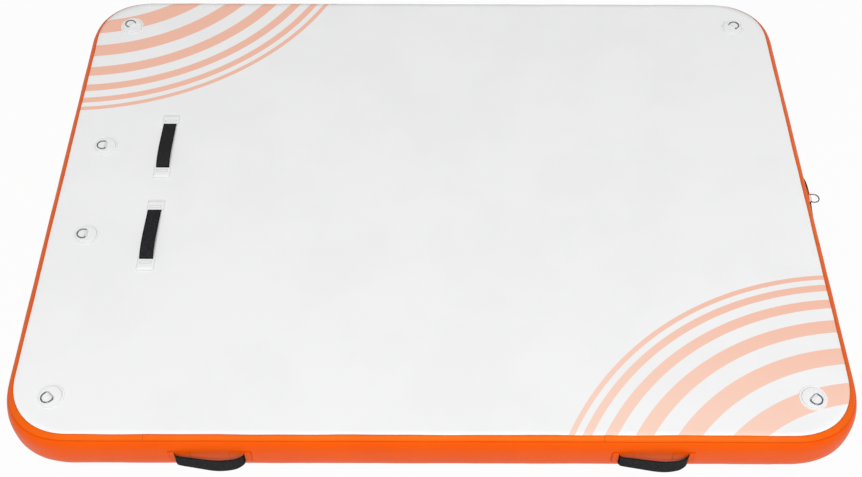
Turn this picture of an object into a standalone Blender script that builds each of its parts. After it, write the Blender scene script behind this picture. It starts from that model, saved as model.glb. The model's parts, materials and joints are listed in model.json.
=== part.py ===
"""Inflatable dock platform: a drop-stitch air chamber with D-rings, carry handles and a valve.

Metres, +Z up. The origin is the centre of the flat underside, +X runs along the long side
and -Y points to the front. Every piece is one closed body in its own named object.
"""

import math

import bmesh
import bpy
import numpy as np
from mathutils import Matrix, Vector

# Overall size
LENGTH = 2.44
WIDTH = 1.83
THICKNESS = 0.15
CORNER_RADIUS = 0.21
BULGE = 0.036

# Sheet goods of the hull
SKIN = 0.0009
WALL = 0.0009
LINER = 0.0007
TAPE = 0.0008
CLOTH = 0.0004
GAP = 0.0003
OVERRUN = 0.002

# Where the sheets end, as angles down the side's half-ellipse from the deck
TAPE_START = 10
SKIN_END = 22
TAPE_END = 36
UPPER_ANGLES = (0, TAPE_START, SKIN_END, TAPE_END, 50, 63, 76.5, 90)
WALL_ANGLES = UPPER_ANGLES + tuple(180 - angle for angle in UPPER_ANGLES[-2::-1])
LINER_ANGLES = (TAPE_START, SKIN_END, 50, 76.5, 103.5, 130, 180 - SKIN_END, 180 - TAPE_START)
CORNER_STEPS = 8

# Drop-stitch yarns, bundled
YARN_COLUMNS = 8
YARN_ROWS = 5
YARN_BUNDLE = 0.006
YARN_MARGIN = 0.16
CORE_INSET = 0.002

# D-rings
RING_WIDTH = 0.037
RING_REACH = 0.029
RING_WIRE = 0.004
RING_CORNER = 0.004
RING_CROWN_STEPS = 8
PAD_RADIUS = 0.040
PAD_BASE = 0.0010
PAD_RIM = 0.0075
PAD_COVER = 0.0008
PAD_STEPS = 24
LOOP_WIDTH = 0.025
LOOP_WEBBING = 0.0008
LOOP_TAIL = 0.022
LOOP_STEPS = 12
WINDOW_REACH = 0.006
RING_INSET_X = 0.142
RING_INSET_Y = 0.148
EDGE_RING_SPREAD = 0.186
WALL_RING_Y = 0.018
WALL_RING_UP = 0.015
WALL_RING_STANDOFF = 0.0147

# Carry handles
STRAP_WIDTH = 0.043
STRAP = 0.0014
STRAP_STEPS = 14
STRAP_SWELL = 1.3
HANDLE_PATCH_BASE = 0.0009
HANDLE_PATCH_COVER = 0.0009
HANDLE_PATCH_CORNER = 0.006
DECK_HANDLE_SPAN = 0.195
DECK_HANDLE_ARCH = 0.014
DECK_HANDLE_INSET = 0.3435
DECK_HANDLE_SPREAD = 0.186
DECK_PATCH_MARGIN = 0.0065
DECK_PATCH_OUTER = 0.043
DECK_PATCH_INNER = 0.014
DECK_STRAP_TAIL = 0.030
WALL_HANDLE_SPAN = 0.196
WALL_HANDLE_ARCH = 0.028
WALL_HANDLE_LEAN = 0.010
WALL_HANDLE_SPREAD = 0.62
WALL_PATCH_MARGIN = 0.0055
WALL_PATCH_OUTER = 0.019
WALL_PATCH_INNER = 0.044
WALL_STRAP_TAIL = 0.015
RIGHT_HANDLE_ARCH = 0.0215
RIGHT_STRAP_LIFT = 0.0012

# Valve, measured along its own axis from the wall's outer face
BORE_RADIUS = 0.0125
BARREL_WALL = 0.0025
BARREL_DEPTH = 0.0284
COLLAR_WALL = 0.0030
COLLAR_HEIGHT = 0.0060
VALVE_FLANGE_WIDTH = 0.0090
VALVE_FLANGE = 0.0025
SEAT_LIP = 0.0040
SEAT = 0.0020
SEAT_DEPTH = 0.0220
STEM_RADIUS = 0.0020
GUIDE_WALL = 0.0017
GUIDE_RIB = 0.0020
STEM_HEAD_RADIUS = 0.0060
STEM_HEAD = 0.0025
STEM_HEAD_DEPTH = 0.0015
STEM_PLATE_LAP = 0.0010
STEM_PLATE = 0.0018
SEAL_LAP = 0.0025
SEAL = 0.0018
SPRING_WIRE = 0.0008
SPRING_TURNS = 5
SPRING_STEPS = 8
CAP_RIM = 0.0020
CAP_HEAD = 0.0032
CAP_PLUG_DEPTH = 0.0066
CAP_WALL = 0.0014
CAP_GRIP_INSET = 0.0055
CAP_GRIP_WIDTH = 0.0045
CAP_GRIP_HEIGHT = 0.0050
O_RING_WIRE = 0.0018
O_RING_DROP = 0.0034
TETHER = 0.0010
TETHER_RING = 0.0030
TETHER_WIDTH = 0.006
TETHER_REACH = 0.007
NUT_WALL = 0.0060
NUT = 0.005
VALVE_STEPS = 28
MERGE = 0.00001

# Valve radii that follow from these
BARREL_RADIUS = BORE_RADIUS + BARREL_WALL
COLLAR_RADIUS = BORE_RADIUS + COLLAR_WALL
VALVE_FLANGE_RADIUS = BARREL_RADIUS + VALVE_FLANGE_WIDTH
SEAT_RADIUS = BORE_RADIUS - SEAT_LIP
SEAL_RADIUS = SEAT_RADIUS + SEAL_LAP
STEM_PLATE_RADIUS = SEAT_RADIUS + STEM_PLATE_LAP
GUIDE_RADIUS = STEM_RADIUS + GAP + GUIDE_WALL
CAP_RADIUS = COLLAR_RADIUS + CAP_RIM
NUT_RADIUS = BARREL_RADIUS + NUT_WALL


def from_srgb(red, green, blue):
    """Linear values for Base Color of a colour given in 0 to 255."""
    return tuple(((c / 255 + 0.055) / 1.055) ** 2.4 for c in (red, green, blue)) + (1.0,)


def paint(name, colour, roughness, metallic=0.0):
    """A Principled material."""
    made = bpy.data.materials.new(name)
    made.use_nodes = True
    shader = made.node_tree.nodes["Principled BSDF"]
    shader.inputs["Base Color"].default_value = from_srgb(*colour)
    shader.inputs["Roughness"].default_value = roughness
    shader.inputs["Metallic"].default_value = metallic
    return made


def add(name, data, finish, place=None, folder=None):
    """Puts mesh or curve data in the scene as a named object."""
    obj = bpy.data.objects.new(name, data)
    (folder or PARTS).objects.link(obj)
    if place is not None:
        obj.matrix_world = place
    if finish:
        data.materials.clear()
        data.materials.append(finish)
    return obj


def cutter(name, data, place=None):
    """An object that only cuts or joins others."""
    obj = add(name, data, None, place, CUTTERS)
    obj.hide_render = True
    obj.display_type = "WIRE"
    return obj


def mesh_of(bm, name):
    """Mesh data of a bmesh, which is freed."""
    mesh = bpy.data.meshes.new(name)
    bm.to_mesh(mesh)
    bm.free()
    return mesh


def boolean(obj, operation, other):
    """Joins or cuts an object with another."""
    change = obj.modifiers.new(operation.title(), "BOOLEAN")
    change.operation = operation
    change.solver = "EXACT"
    change.object = other


def carved(name, base, tools):
    """Mesh data of a bmesh joined with or cut by others, each a pair of operation and bmesh."""
    work = cutter(name, mesh_of(base, name))
    others = [cutter(name, mesh_of(tool, name)) for _, tool in tools]
    for (operation, _), other in zip(tools, others):
        boolean(work, operation, other)
    seen = work.evaluated_get(bpy.context.evaluated_depsgraph_get())
    mesh = bpy.data.meshes.new_from_object(seen)
    mesh.name = name
    for obj in [work] + others:
        bpy.data.objects.remove(obj)
    mesh.shade_smooth()
    mesh.set_sharp_from_angle(angle=math.radians(30))
    return mesh


def frame(origin, along, out):
    """Matrix of a place whose X runs along and whose Z points out."""
    across = out.cross(along)
    return Matrix.Translation(origin) @ Matrix((along, across, out)).transposed().to_4x4()


def box(low, high):
    """A bmesh box between two corners."""
    bm = bmesh.new()
    bmesh.ops.create_cube(bm, size=1.0)
    size = Vector(high) - Vector(low)
    bmesh.ops.scale(bm, vec=size, verts=bm.verts)
    bmesh.ops.translate(bm, vec=Vector(low) + size / 2, verts=bm.verts)
    return bm


def disc(radius, low, high, steps):
    """A bmesh cylinder along Z between two heights."""
    bm = bmesh.new()
    middle = Matrix.Translation((0, 0, (low + high) / 2))
    bmesh.ops.create_cone(bm, cap_ends=True, segments=steps, radius1=radius, radius2=radius,
                          depth=high - low, matrix=middle)
    return bm


def turned(name, profile, finish, place, closed=False):
    """A piece spun from its half section, whose outer side runs top to bottom."""
    mesh = bpy.data.meshes.new(name)
    edges = [(i, i + 1) for i in range(len(profile) - 1)]
    if closed:
        edges.append((len(profile) - 1, 0))
    mesh.from_pydata([(radius, 0, height) for radius, height in profile], edges, [])
    obj = add(name, mesh, finish, place)
    spin = obj.modifiers.new("Spin", "SCREW")
    spin.steps = VALVE_STEPS
    spin.render_steps = VALVE_STEPS
    spin.use_merge_vertices = True
    spin.merge_threshold = MERGE
    return obj


def wire(name, points, thickness, resolution, finish, place, cyclic=False):
    """A round wire along points."""
    curve = bpy.data.curves.new(name, "CURVE")
    curve.dimensions = "3D"
    curve.bevel_depth = thickness / 2
    curve.bevel_resolution = resolution
    curve.use_fill_caps = not cyclic
    line = curve.splines.new("POLY")
    line.points.add(len(points) - 1)
    for spot, point in zip(line.points, points):
        spot.co = (*point, 1)
    line.use_cyclic_u = cyclic
    return add(name, curve, finish, place)


def flat_shape(name, outlines, height):
    """Curve data of a flat outline and its holes, extruded to a height about its own plane."""
    curve = bpy.data.curves.new(name, "CURVE")
    curve.dimensions = "2D"
    curve.fill_mode = "BOTH"
    curve.extrude = height / 2
    for points in outlines:
        line = curve.splines.new("POLY")
        line.points.add(len(points) - 1)
        for spot, (x, y) in zip(line.points, points):
            spot.co = (x, y, 0, 1)
        line.use_cyclic_u = True
    return curve


def solid_mesh(curve, turn):
    """Mesh data of a curve's solid with its caps welded on, turned by a matrix."""
    work = cutter(curve.name, curve)
    seen = work.evaluated_get(bpy.context.evaluated_depsgraph_get())
    bm = bmesh.new()
    bm.from_mesh(bpy.data.meshes.new_from_object(seen))
    bmesh.ops.remove_doubles(bm, verts=bm.verts, dist=MERGE)
    bmesh.ops.transform(bm, matrix=turn, verts=bm.verts)
    bpy.data.objects.remove(work)
    return mesh_of(bm, curve.name)


# The hull's edge: a half-ellipse that starts at the flat deck's edge line

def section(angle, out=0.0):
    """How far outside the deck's edge line, and how high, the side is at an angle down it."""
    turn = math.radians(angle)
    reach = BULGE * math.sin(turn)
    height = THICKNESS / 2 * (1 + math.cos(turn))
    lean = math.atan2(math.sin(turn) / BULGE, math.cos(turn) / (THICKNESS / 2))
    return reach + out * math.sin(lean), height + out * math.cos(lean)


def outline(reach, height):
    """The rounded rectangle that lies a distance outside the deck's edge line."""
    radius = CORNER_RADIUS - BULGE + reach
    points = []
    for quarter, (side, end) in enumerate(((1, 1), (-1, 1), (-1, -1), (1, -1))):
        middle = Vector((side * (LENGTH / 2 - CORNER_RADIUS),
                         end * (WIDTH / 2 - CORNER_RADIUS), height))
        for step in range(CORNER_STEPS + 1):
            turn = math.radians(90 * (quarter + step / CORNER_STEPS))
            points.append(middle + radius * Vector((math.cos(turn), math.sin(turn), 0)))
    return points


def hull_sheet(name, angles, out, thickness, finish, flat=False):
    """A sheet lofted round the hull between angles down its side, closed over when flat."""
    bm = bmesh.new()
    previous = None
    for angle in angles:
        corners = [bm.verts.new(point) for point in outline(*section(angle, out))]
        edges = [bm.edges.new((corners[i - 1], corners[i])) for i in range(len(corners))]
        if previous:
            bmesh.ops.bridge_loops(bm, edges=previous + edges)
        elif flat:
            bm.faces.new(corners)
        previous = edges
    bmesh.ops.recalc_face_normals(bm, faces=bm.faces)
    bm.faces.ensure_lookup_table()
    face = bm.faces[-1]
    away = face.calc_center_median() - Vector((0, 0, THICKNESS / 2))
    if face.normal.dot(away) < 0:
        bmesh.ops.reverse_faces(bm, faces=bm.faces)
    mesh = mesh_of(bm, name)
    mesh.shade_smooth()
    mesh.set_sharp_from_angle(angle=math.radians(40))
    obj = add(name, mesh, finish)
    shell = obj.modifiers.new("Thickness", "SOLIDIFY")
    shell.thickness = thickness
    shell.offset = -1
    shell.use_even_offset = True
    return obj


def plate(reach, low, high):
    """A flat sheet with the deck's outline between two heights."""
    bm = bmesh.new()
    face = bm.faces.new([bm.verts.new(point) for point in outline(reach, low)])
    raised = bmesh.ops.extrude_face_region(bm, geom=[face])["geom"]
    bmesh.ops.translate(bm, vec=(0, 0, high - low),
                        verts=[v for v in raised if isinstance(v, bmesh.types.BMVert)])
    bmesh.ops.recalc_face_normals(bm, faces=bm.faces)
    return bm


def build_core():
    """The drop-stitch fabric: two cloths and the yarns that tie them, bundled."""
    lowest = SKIN + GAP
    highest = THICKNESS - SKIN - GAP
    yarns = bmesh.new()
    for column in range(YARN_COLUMNS):
        for row in range(YARN_ROWS):
            x = (column / (YARN_COLUMNS - 1) - 0.5) * (LENGTH - 2 * YARN_MARGIN)
            y = (row / (YARN_ROWS - 1) - 0.5) * (WIDTH - 2 * YARN_MARGIN)
            size = Matrix.Diagonal((YARN_BUNDLE, YARN_BUNDLE, highest - lowest - CLOTH, 1))
            bmesh.ops.create_cube(yarns, size=1.0,
                                  matrix=Matrix.Translation((x, y, THICKNESS / 2)) @ size)
    mesh = carved("drop_stitch_core", plate(-CORE_INSET, lowest, lowest + CLOTH),
                  [("UNION", yarns), ("UNION", plate(-CORE_INSET, highest - CLOTH, highest))])
    add("drop_stitch_core", mesh, YARN)


def build_hull():
    """The skins, walls, tapes and core of the air chamber."""
    skin_angles = [angle for angle in WALL_ANGLES if angle <= SKIN_END]
    hull_sheet("deck_skin", skin_angles, 0, SKIN, WHITE, flat=True)
    hull_sheet("bottom_skin", [180 - angle for angle in skin_angles], 0, SKIN, GREY, flat=True)
    joint = math.degrees(GAP / BULGE)
    middle = [angle for angle in WALL_ANGLES if SKIN_END < angle < 180 - SKIN_END]
    wall_angles = [SKIN_END + joint] + middle + [180 - SKIN_END - joint]
    wall = hull_sheet("side_wall", wall_angles, 0, WALL, ORANGE)
    liner = hull_sheet("side_wall_liner", LINER_ANGLES, -WALL - GAP, LINER, ORANGE)
    tape_angles = [angle for angle in WALL_ANGLES if TAPE_START <= angle <= TAPE_END]
    hull_sheet("top_rail_tape", tape_angles, GAP + TAPE, TAPE, TAPE_ORANGE)
    hull_sheet("bottom_rail_tape", [180 - angle for angle in tape_angles], GAP + TAPE, TAPE,
               TAPE_ORANGE)
    hole = cutter("valve_hole", mesh_of(disc(BARREL_RADIUS + GAP, -BARREL_DEPTH, COLLAR_HEIGHT,
                                             VALVE_STEPS), "valve_hole"), VALVE_PLACE)
    boolean(wall, "DIFFERENCE", hole)
    boolean(liner, "DIFFERENCE", hole)
    build_core()


# Places on the side walls, which follow the same facets as the walls themselves

WALL_FACES = {
    "front": (Vector((1, 0, 0)), Vector((0, -1, 0)), WIDTH / 2),
    "rear": (Vector((-1, 0, 0)), Vector((0, 1, 0)), WIDTH / 2),
    "right": (Vector((0, 1, 0)), Vector((1, 0, 0)), LENGTH / 2),
}


def wall_rows():
    """The distance up the side from mid-height, and the section, of each of its corners."""
    spots = [Vector(section(angle)) for angle in WALL_ANGLES[::-1]]
    leans = [Vector(section(angle, 1.0)) - Vector(section(angle)) for angle in WALL_ANGLES[::-1]]
    run = np.cumsum([0.0] + [(b - a).length for a, b in zip(spots, spots[1:])])
    return run - run[-1] / 2, spots, leans


def wall_point(wall, along, up, out):
    """A point by its distance along a wall, up its curve from mid-height, and out of it."""
    along_way, out_way, edge = WALL_FACES[wall]
    run, spots, leans = wall_rows()
    reach, height, lean_out, lean_up = (
        float(np.interp(up, run, [pair[i] for pair in pairs]))
        for pairs in (spots, leans) for i in (0, 1))
    flat = along_way * along + out_way * (edge - BULGE + reach + out * lean_out)
    return flat + Vector((0, 0, height + out * lean_up))


def bent_to_wall(mesh, wall, along, up, keep_width=False):
    """Copies a flat mesh, lying in XY with its height along Z, onto a side wall's curve."""
    bm = bmesh.new()
    bm.from_mesh(mesh)
    bmesh.ops.triangulate(bm, faces=bm.faces)
    low = min(v.co.y for v in bm.verts)
    high = max(v.co.y for v in bm.verts)
    for row in wall_rows()[0]:
        if low < row - up < high:
            bmesh.ops.bisect_plane(bm, geom=bm.verts[:] + bm.edges[:] + bm.faces[:],
                                   dist=MERGE, plane_co=(0, row - up, 0), plane_no=(0, 1, 0))
    curve_radius = (THICKNESS / 2) ** 2 / BULGE
    for vert in bm.verts:
        shrink = 1 + vert.co.z / curve_radius if keep_width else 1
        vert.co = wall_point(wall, along + vert.co.x, up + vert.co.y / shrink, vert.co.z)
    bent = mesh_of(bm, mesh.name)
    bent.shade_smooth()
    bent.set_sharp_from_angle(angle=math.radians(30))
    return bent


# Turns a flat outline's X into Y and its Y into Z
UPRIGHT = Matrix(((0, 0, 1, 0), (1, 0, 0, 0), (0, 1, 0, 0), (0, 0, 0, 1)))

# D-rings: the pad's X points to the ring's crown, its Y runs along the bar

PAD_RISE_RADIUS = PAD_RADIUS - PAD_RIM
PAD_POCKET = LOOP_WEBBING + 2 * GAP
PAD_TOP = GAP + PAD_BASE + PAD_POCKET + PAD_COVER
TAIL_LOW = GAP + PAD_BASE + GAP
RING_HEIGHT = PAD_TOP + GAP + RING_WIRE / 2


def pad_mesh():
    """The round patch: a thin disc with a raised middle, a window and a pocket for the webbing."""
    floor = GAP + PAD_BASE
    half = LOOP_WIDTH / 2 + GAP
    window = box((-WINDOW_REACH, -half, floor), (WINDOW_REACH, half, PAD_TOP + OVERRUN))
    pocket = box((-LOOP_TAIL - GAP, -half, floor), (0, half, floor + PAD_POCKET))
    rise = disc(PAD_RISE_RADIUS, floor - PAD_BASE / 2, PAD_TOP, PAD_STEPS)
    return carved("pad", disc(PAD_RADIUS, GAP, floor, PAD_STEPS),
                  [("UNION", rise), ("DIFFERENCE", window), ("DIFFERENCE", pocket)])


def touch_point(centre, radius, start, side):
    """Where a line from a start point touches a circle, on one side."""
    away = Vector(start) - Vector(centre)
    turn = math.atan2(away.y, away.x) + side * math.acos(radius / away.length)
    return Vector(centre) + radius * Vector((math.cos(turn), math.sin(turn))), turn


def loop_outlines(height, mouth, throat):
    """Side outline of the webbing loop round a bar at a height, and its eye.

    The mouth is where the two layers part, and the throat is half their thickness there.
    """
    centre = (0.0, height)
    radius = RING_WIRE / 2 + GAP + LOOP_WEBBING
    upper = (mouth[0] - throat[0], mouth[1] + throat[1])
    lower = (mouth[0] + throat[0], mouth[1] - throat[1])
    first, first_turn = touch_point(centre, radius, upper, -1)
    last, last_turn = touch_point(centre, radius, lower, 1)
    sweep = (first_turn - last_turn) % math.tau
    around = [last_turn + sweep * step / LOOP_STEPS for step in range(LOOP_STEPS + 1)]
    arc = [(centre[0] + radius * math.cos(turn), centre[1] + radius * math.sin(turn))
           for turn in around]
    tail_high = TAIL_LOW + LOOP_WEBBING
    tail = [(-LOOP_TAIL, tail_high), (-LOOP_TAIL, TAIL_LOW)]
    outer = [lower] + arc + [upper]
    if throat[0]:
        outer += [(upper[0], tail_high)] + tail + [(lower[0], TAIL_LOW)]
    else:
        outer += tail
    eye_radius = RING_WIRE / 2 + GAP
    eye = [(centre[0] + eye_radius * math.cos(math.tau * step / LOOP_STEPS),
            centre[1] + eye_radius * math.sin(math.tau * step / LOOP_STEPS))
           for step in range(LOOP_STEPS)]
    return [outer, eye]


def ring_points():
    """The D-ring's wire line: a bar, two rounded corners and a round crown."""
    half = (RING_WIDTH - RING_WIRE) / 2
    crown_x = RING_REACH - RING_WIRE / 2 - half
    points = []
    for side in (1, -1):
        corner = [(RING_CORNER * (1 - math.sin(turn)),
                   side * (half - RING_CORNER * (1 - math.cos(turn))), 0)
                  for turn in (math.radians(90), math.radians(45), 0)]
        points += corner if side == 1 else corner[::-1]
        if side == 1:
            for step in range(RING_CROWN_STEPS + 1):
                turn = math.pi * (0.5 - step / RING_CROWN_STEPS)
                points.append((crown_x + half * math.cos(turn), half * math.sin(turn), 0))
    return points


def deck_ring(name, x, y, crown):
    """One D-ring set on the deck."""
    crown = crown.normalized()
    place = frame(Vector((x, y, THICKNESS)), crown, Vector((0, 0, 1)))
    add(name + "_patch", PAD_MESH, WHITE, place)
    mouth = (-WINDOW_REACH, TAIL_LOW + LOOP_WEBBING / 2)
    loop = flat_shape(name, loop_outlines(RING_HEIGHT, mouth, (0, LOOP_WEBBING / 2)), LOOP_WIDTH)
    add(name + "_webbing", loop, WHITE, place @ Matrix.Rotation(math.radians(90), 4, "X"))
    wire(name + "_ring", ring_points(), RING_WIRE, 2, STEEL,
         place @ Matrix.Translation((0, 0, RING_HEIGHT)), cyclic=True)


def wall_ring(name, wall, along, up):
    """The D-ring set on a side wall, whose ring stands out level over the handle's strap."""
    turned_pad = PAD_MESH.copy()
    turned_pad.transform(Matrix.Rotation(math.radians(90), 4, "Z"))
    add(name + "_patch", bent_to_wall(turned_pad, wall, along, up), ORANGE)
    bpy.data.meshes.remove(turned_pad)
    loop = flat_shape("loop", loop_outlines(WALL_RING_STANDOFF, (0, PAD_TOP), (LOOP_WEBBING, 0)),
                      LOOP_WIDTH)
    add(name + "_webbing", bent_to_wall(solid_mesh(loop, UPRIGHT), wall, along, up, True), WHITE)
    foot = wall_point(wall, along, up, 0)
    out = (wall_point(wall, along, up, 1.0) - foot).normalized()
    bar = foot + out * WALL_RING_STANDOFF
    wire(name + "_ring", ring_points(), RING_WIRE, 2, STEEL,
         frame(bar, WALL_FACES[wall][1], Vector((0, 0, 1))), cyclic=True)


def build_rings():
    """Four rings at the deck's corners, two at its left edge and one on the right wall."""
    x = LENGTH / 2 - RING_INSET_X
    y = WIDTH / 2 - RING_INSET_Y
    for end, side_y in (("front", -1), ("rear", 1)):
        for side, side_x in (("left", -1), ("right", 1)):
            deck_ring(f"d_ring_{end}_{side}", side_x * x, side_y * y,
                      Vector((side_x, side_y, 0)))
        deck_ring(f"d_ring_left_edge_{end}", -x, side_y * EDGE_RING_SPREAD, Vector((-1, 0, 0)))
    wall_ring("d_ring_right_wall", "right", WALL_RING_Y, WALL_RING_UP)


# Handles: X runs along the strap, Z points out of what it lies on

STRAP_POCKET = STRAP + 2 * GAP
STRAP_LOW = GAP + HANDLE_PATCH_BASE + GAP
HANDLE_PATCH_TOP = GAP + HANDLE_PATCH_BASE + STRAP_POCKET + HANDLE_PATCH_COVER


def strap_mesh(span, tail, arch, lean):
    """Webbing whose tails lie flat and whose free span bows out, its lower edge leaning more."""
    columns = STRAP_STEPS + 2
    bm = bmesh.new()
    bmesh.ops.create_grid(bm, x_segments=columns, y_segments=1, size=1.0)
    for vert in bm.verts:
        step = round((vert.co.x + 1) / 2 * columns)
        share = 0.0 if step in (0, columns) else abs((step - 1) / STRAP_STEPS * 2 - 1)
        x = (step - 1) / STRAP_STEPS * span - span / 2
        rise = math.sin(math.pi / 2 * (1 - share ** 2)) ** STRAP_SWELL
        if step in (0, columns):
            x = math.copysign(span / 2 + tail, step - 1)
            rise = 0
        out = STRAP_LOW + STRAP / 2 + rise * (arch - lean / 2 * vert.co.y)
        vert.co = (x, vert.co.y * STRAP_WIDTH / 2, out)
    work = cutter("strap", mesh_of(bm, "strap"))
    shell = work.modifiers.new("Thickness", "SOLIDIFY")
    shell.thickness = STRAP
    shell.offset = 0
    shell.use_even_offset = True
    seen = work.evaluated_get(bpy.context.evaluated_depsgraph_get())
    mesh = bpy.data.meshes.new_from_object(seen)
    bpy.data.objects.remove(work)
    return mesh


def end_patch_mesh(span, tail, margin, outer, inner, end):
    """The patch at one end of a strap, with a pocket for the strap's tail."""
    floor = GAP + HANDLE_PATCH_BASE
    width = STRAP_WIDTH + 2 * margin
    half = STRAP_WIDTH / 2 + GAP
    line = span / 2
    block = box((line - inner, -width / 2, GAP), (line + outer, width / 2, HANDLE_PATCH_TOP))
    upright = [e for e in block.edges if abs(e.verts[0].co.z - e.verts[1].co.z) > GAP]
    bmesh.ops.bevel(block, geom=upright, offset=HANDLE_PATCH_CORNER, segments=2, profile=0.5,
                    affect="EDGES")
    mouth = box((line - inner - OVERRUN, -width, floor), (line, width, HANDLE_PATCH_TOP + OVERRUN))
    pocket = box((line - OVERRUN, -half, floor), (line + tail + GAP, half, floor + STRAP_POCKET))
    mesh = carved("end_patch", block, [("DIFFERENCE", mouth), ("DIFFERENCE", pocket)])
    if end < 0:
        mesh.transform(Matrix.Rotation(math.pi, 4, "Z"))
    return mesh


def deck_handle(name, y):
    """A carry handle on the deck, along its left edge."""
    place = frame(Vector((DECK_HANDLE_INSET - LENGTH / 2, y, THICKNESS)), Vector((0, 1, 0)),
                  Vector((0, 0, 1)))
    strap = strap_mesh(DECK_HANDLE_SPAN, DECK_STRAP_TAIL, DECK_HANDLE_ARCH, 0)
    add(name + "_strap", strap, BLACK, place)
    for end, label in ((-1, "front"), (1, "rear")):
        patch = end_patch_mesh(DECK_HANDLE_SPAN, DECK_STRAP_TAIL, DECK_PATCH_MARGIN,
                               DECK_PATCH_OUTER, DECK_PATCH_INNER, end)
        add(f"{name}_{label}_patch", patch, WHITE, place)


def wall_handle(name, wall, along, up, arch):
    """A carry handle on a side wall."""
    strap = strap_mesh(WALL_HANDLE_SPAN, WALL_STRAP_TAIL, arch, WALL_HANDLE_LEAN)
    add(name + "_strap", bent_to_wall(strap, wall, along, up, keep_width=True), BLACK)
    for end, label in ((-1, "a"), (1, "b")):
        patch = end_patch_mesh(WALL_HANDLE_SPAN, WALL_STRAP_TAIL, WALL_PATCH_MARGIN,
                               WALL_PATCH_OUTER, WALL_PATCH_INNER, end)
        add(f"{name}_patch_{label}", bent_to_wall(patch, wall, along, up), ORANGE)


def build_handles():
    """Two handles on the deck, two on each long wall and one on the right wall."""
    deck_handle("deck_handle_front", -DECK_HANDLE_SPREAD)
    deck_handle("deck_handle_rear", DECK_HANDLE_SPREAD)
    for wall, turn in (("front", 1), ("rear", -1)):
        for side, label in ((-1, "left"), (1, "right")):
            wall_handle(f"{wall}_handle_{label}", wall, side * turn * WALL_HANDLE_SPREAD, 0,
                        WALL_HANDLE_ARCH)
    strap_edge = WALL_RING_UP - RING_WIRE / 2 + RIGHT_STRAP_LIFT
    wall_handle("right_handle", "right", WALL_RING_Y, strap_edge - STRAP_WIDTH / 2,
                RIGHT_HANDLE_ARCH)


# The valve: heights along its axis count outwards from the wall's outer face

VALVE_PLACE = frame(Vector((0, WIDTH / 2, THICKNESS / 2)), Vector((-1, 0, 0)), Vector((0, 1, 0)))
FLANGE_TOP = GAP + VALVE_FLANGE
SEAT_LOW = -SEAT_DEPTH - SEAT
SEAL_TOP = SEAT_LOW - GAP
PLATE_TOP = SEAL_TOP - SEAL - GAP
HEAD_LOW = -STEM_HEAD_DEPTH - STEM_HEAD
TETHER_LOW = COLLAR_HEIGHT + GAP
CAP_LOW = TETHER_LOW + TETHER + GAP
PLUG_RADIUS = BORE_RADIUS - GAP


def build_valve_body():
    """The housing, with a stem guide held by three ribs at its seat."""
    body = turned("valve_body", [
        (VALVE_FLANGE_RADIUS, FLANGE_TOP), (VALVE_FLANGE_RADIUS, GAP), (BARREL_RADIUS, GAP),
        (BARREL_RADIUS, -BARREL_DEPTH), (BORE_RADIUS, -BARREL_DEPTH), (BORE_RADIUS, SEAT_LOW),
        (SEAT_RADIUS, SEAT_LOW), (SEAT_RADIUS, -SEAT_DEPTH), (BORE_RADIUS, -SEAT_DEPTH),
        (BORE_RADIUS, COLLAR_HEIGHT), (COLLAR_RADIUS, COLLAR_HEIGHT), (COLLAR_RADIUS, FLANGE_TOP),
    ], PLASTIC, VALVE_PLACE, closed=True)
    reach = (SEAT_RADIUS + BORE_RADIUS) / 2
    inset = SEAT / 8
    ribs = [("UNION", box((-reach, -GUIDE_RIB / 2, SEAT_LOW + inset),
                          (0, GUIDE_RIB / 2, -SEAT_DEPTH - inset)))]
    for turn in (60, -60):
        rib = box((0, -GUIDE_RIB / 2, SEAT_LOW + inset), (reach, GUIDE_RIB / 2, -SEAT_DEPTH - inset))
        bmesh.ops.rotate(rib, verts=rib.verts, matrix=Matrix.Rotation(math.radians(turn), 3, "Z"))
        ribs.append(("UNION", rib))
    hole = disc(STEM_RADIUS + GAP, SEAT_LOW - OVERRUN, -SEAT_DEPTH + OVERRUN, VALVE_STEPS // 2)
    spider = carved("guide", disc(GUIDE_RADIUS, SEAT_LOW, -SEAT_DEPTH, VALVE_STEPS // 2),
                    ribs + [("DIFFERENCE", hole)])
    boolean(body, "UNION", cutter("stem_guide", spider, VALVE_PLACE))


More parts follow.
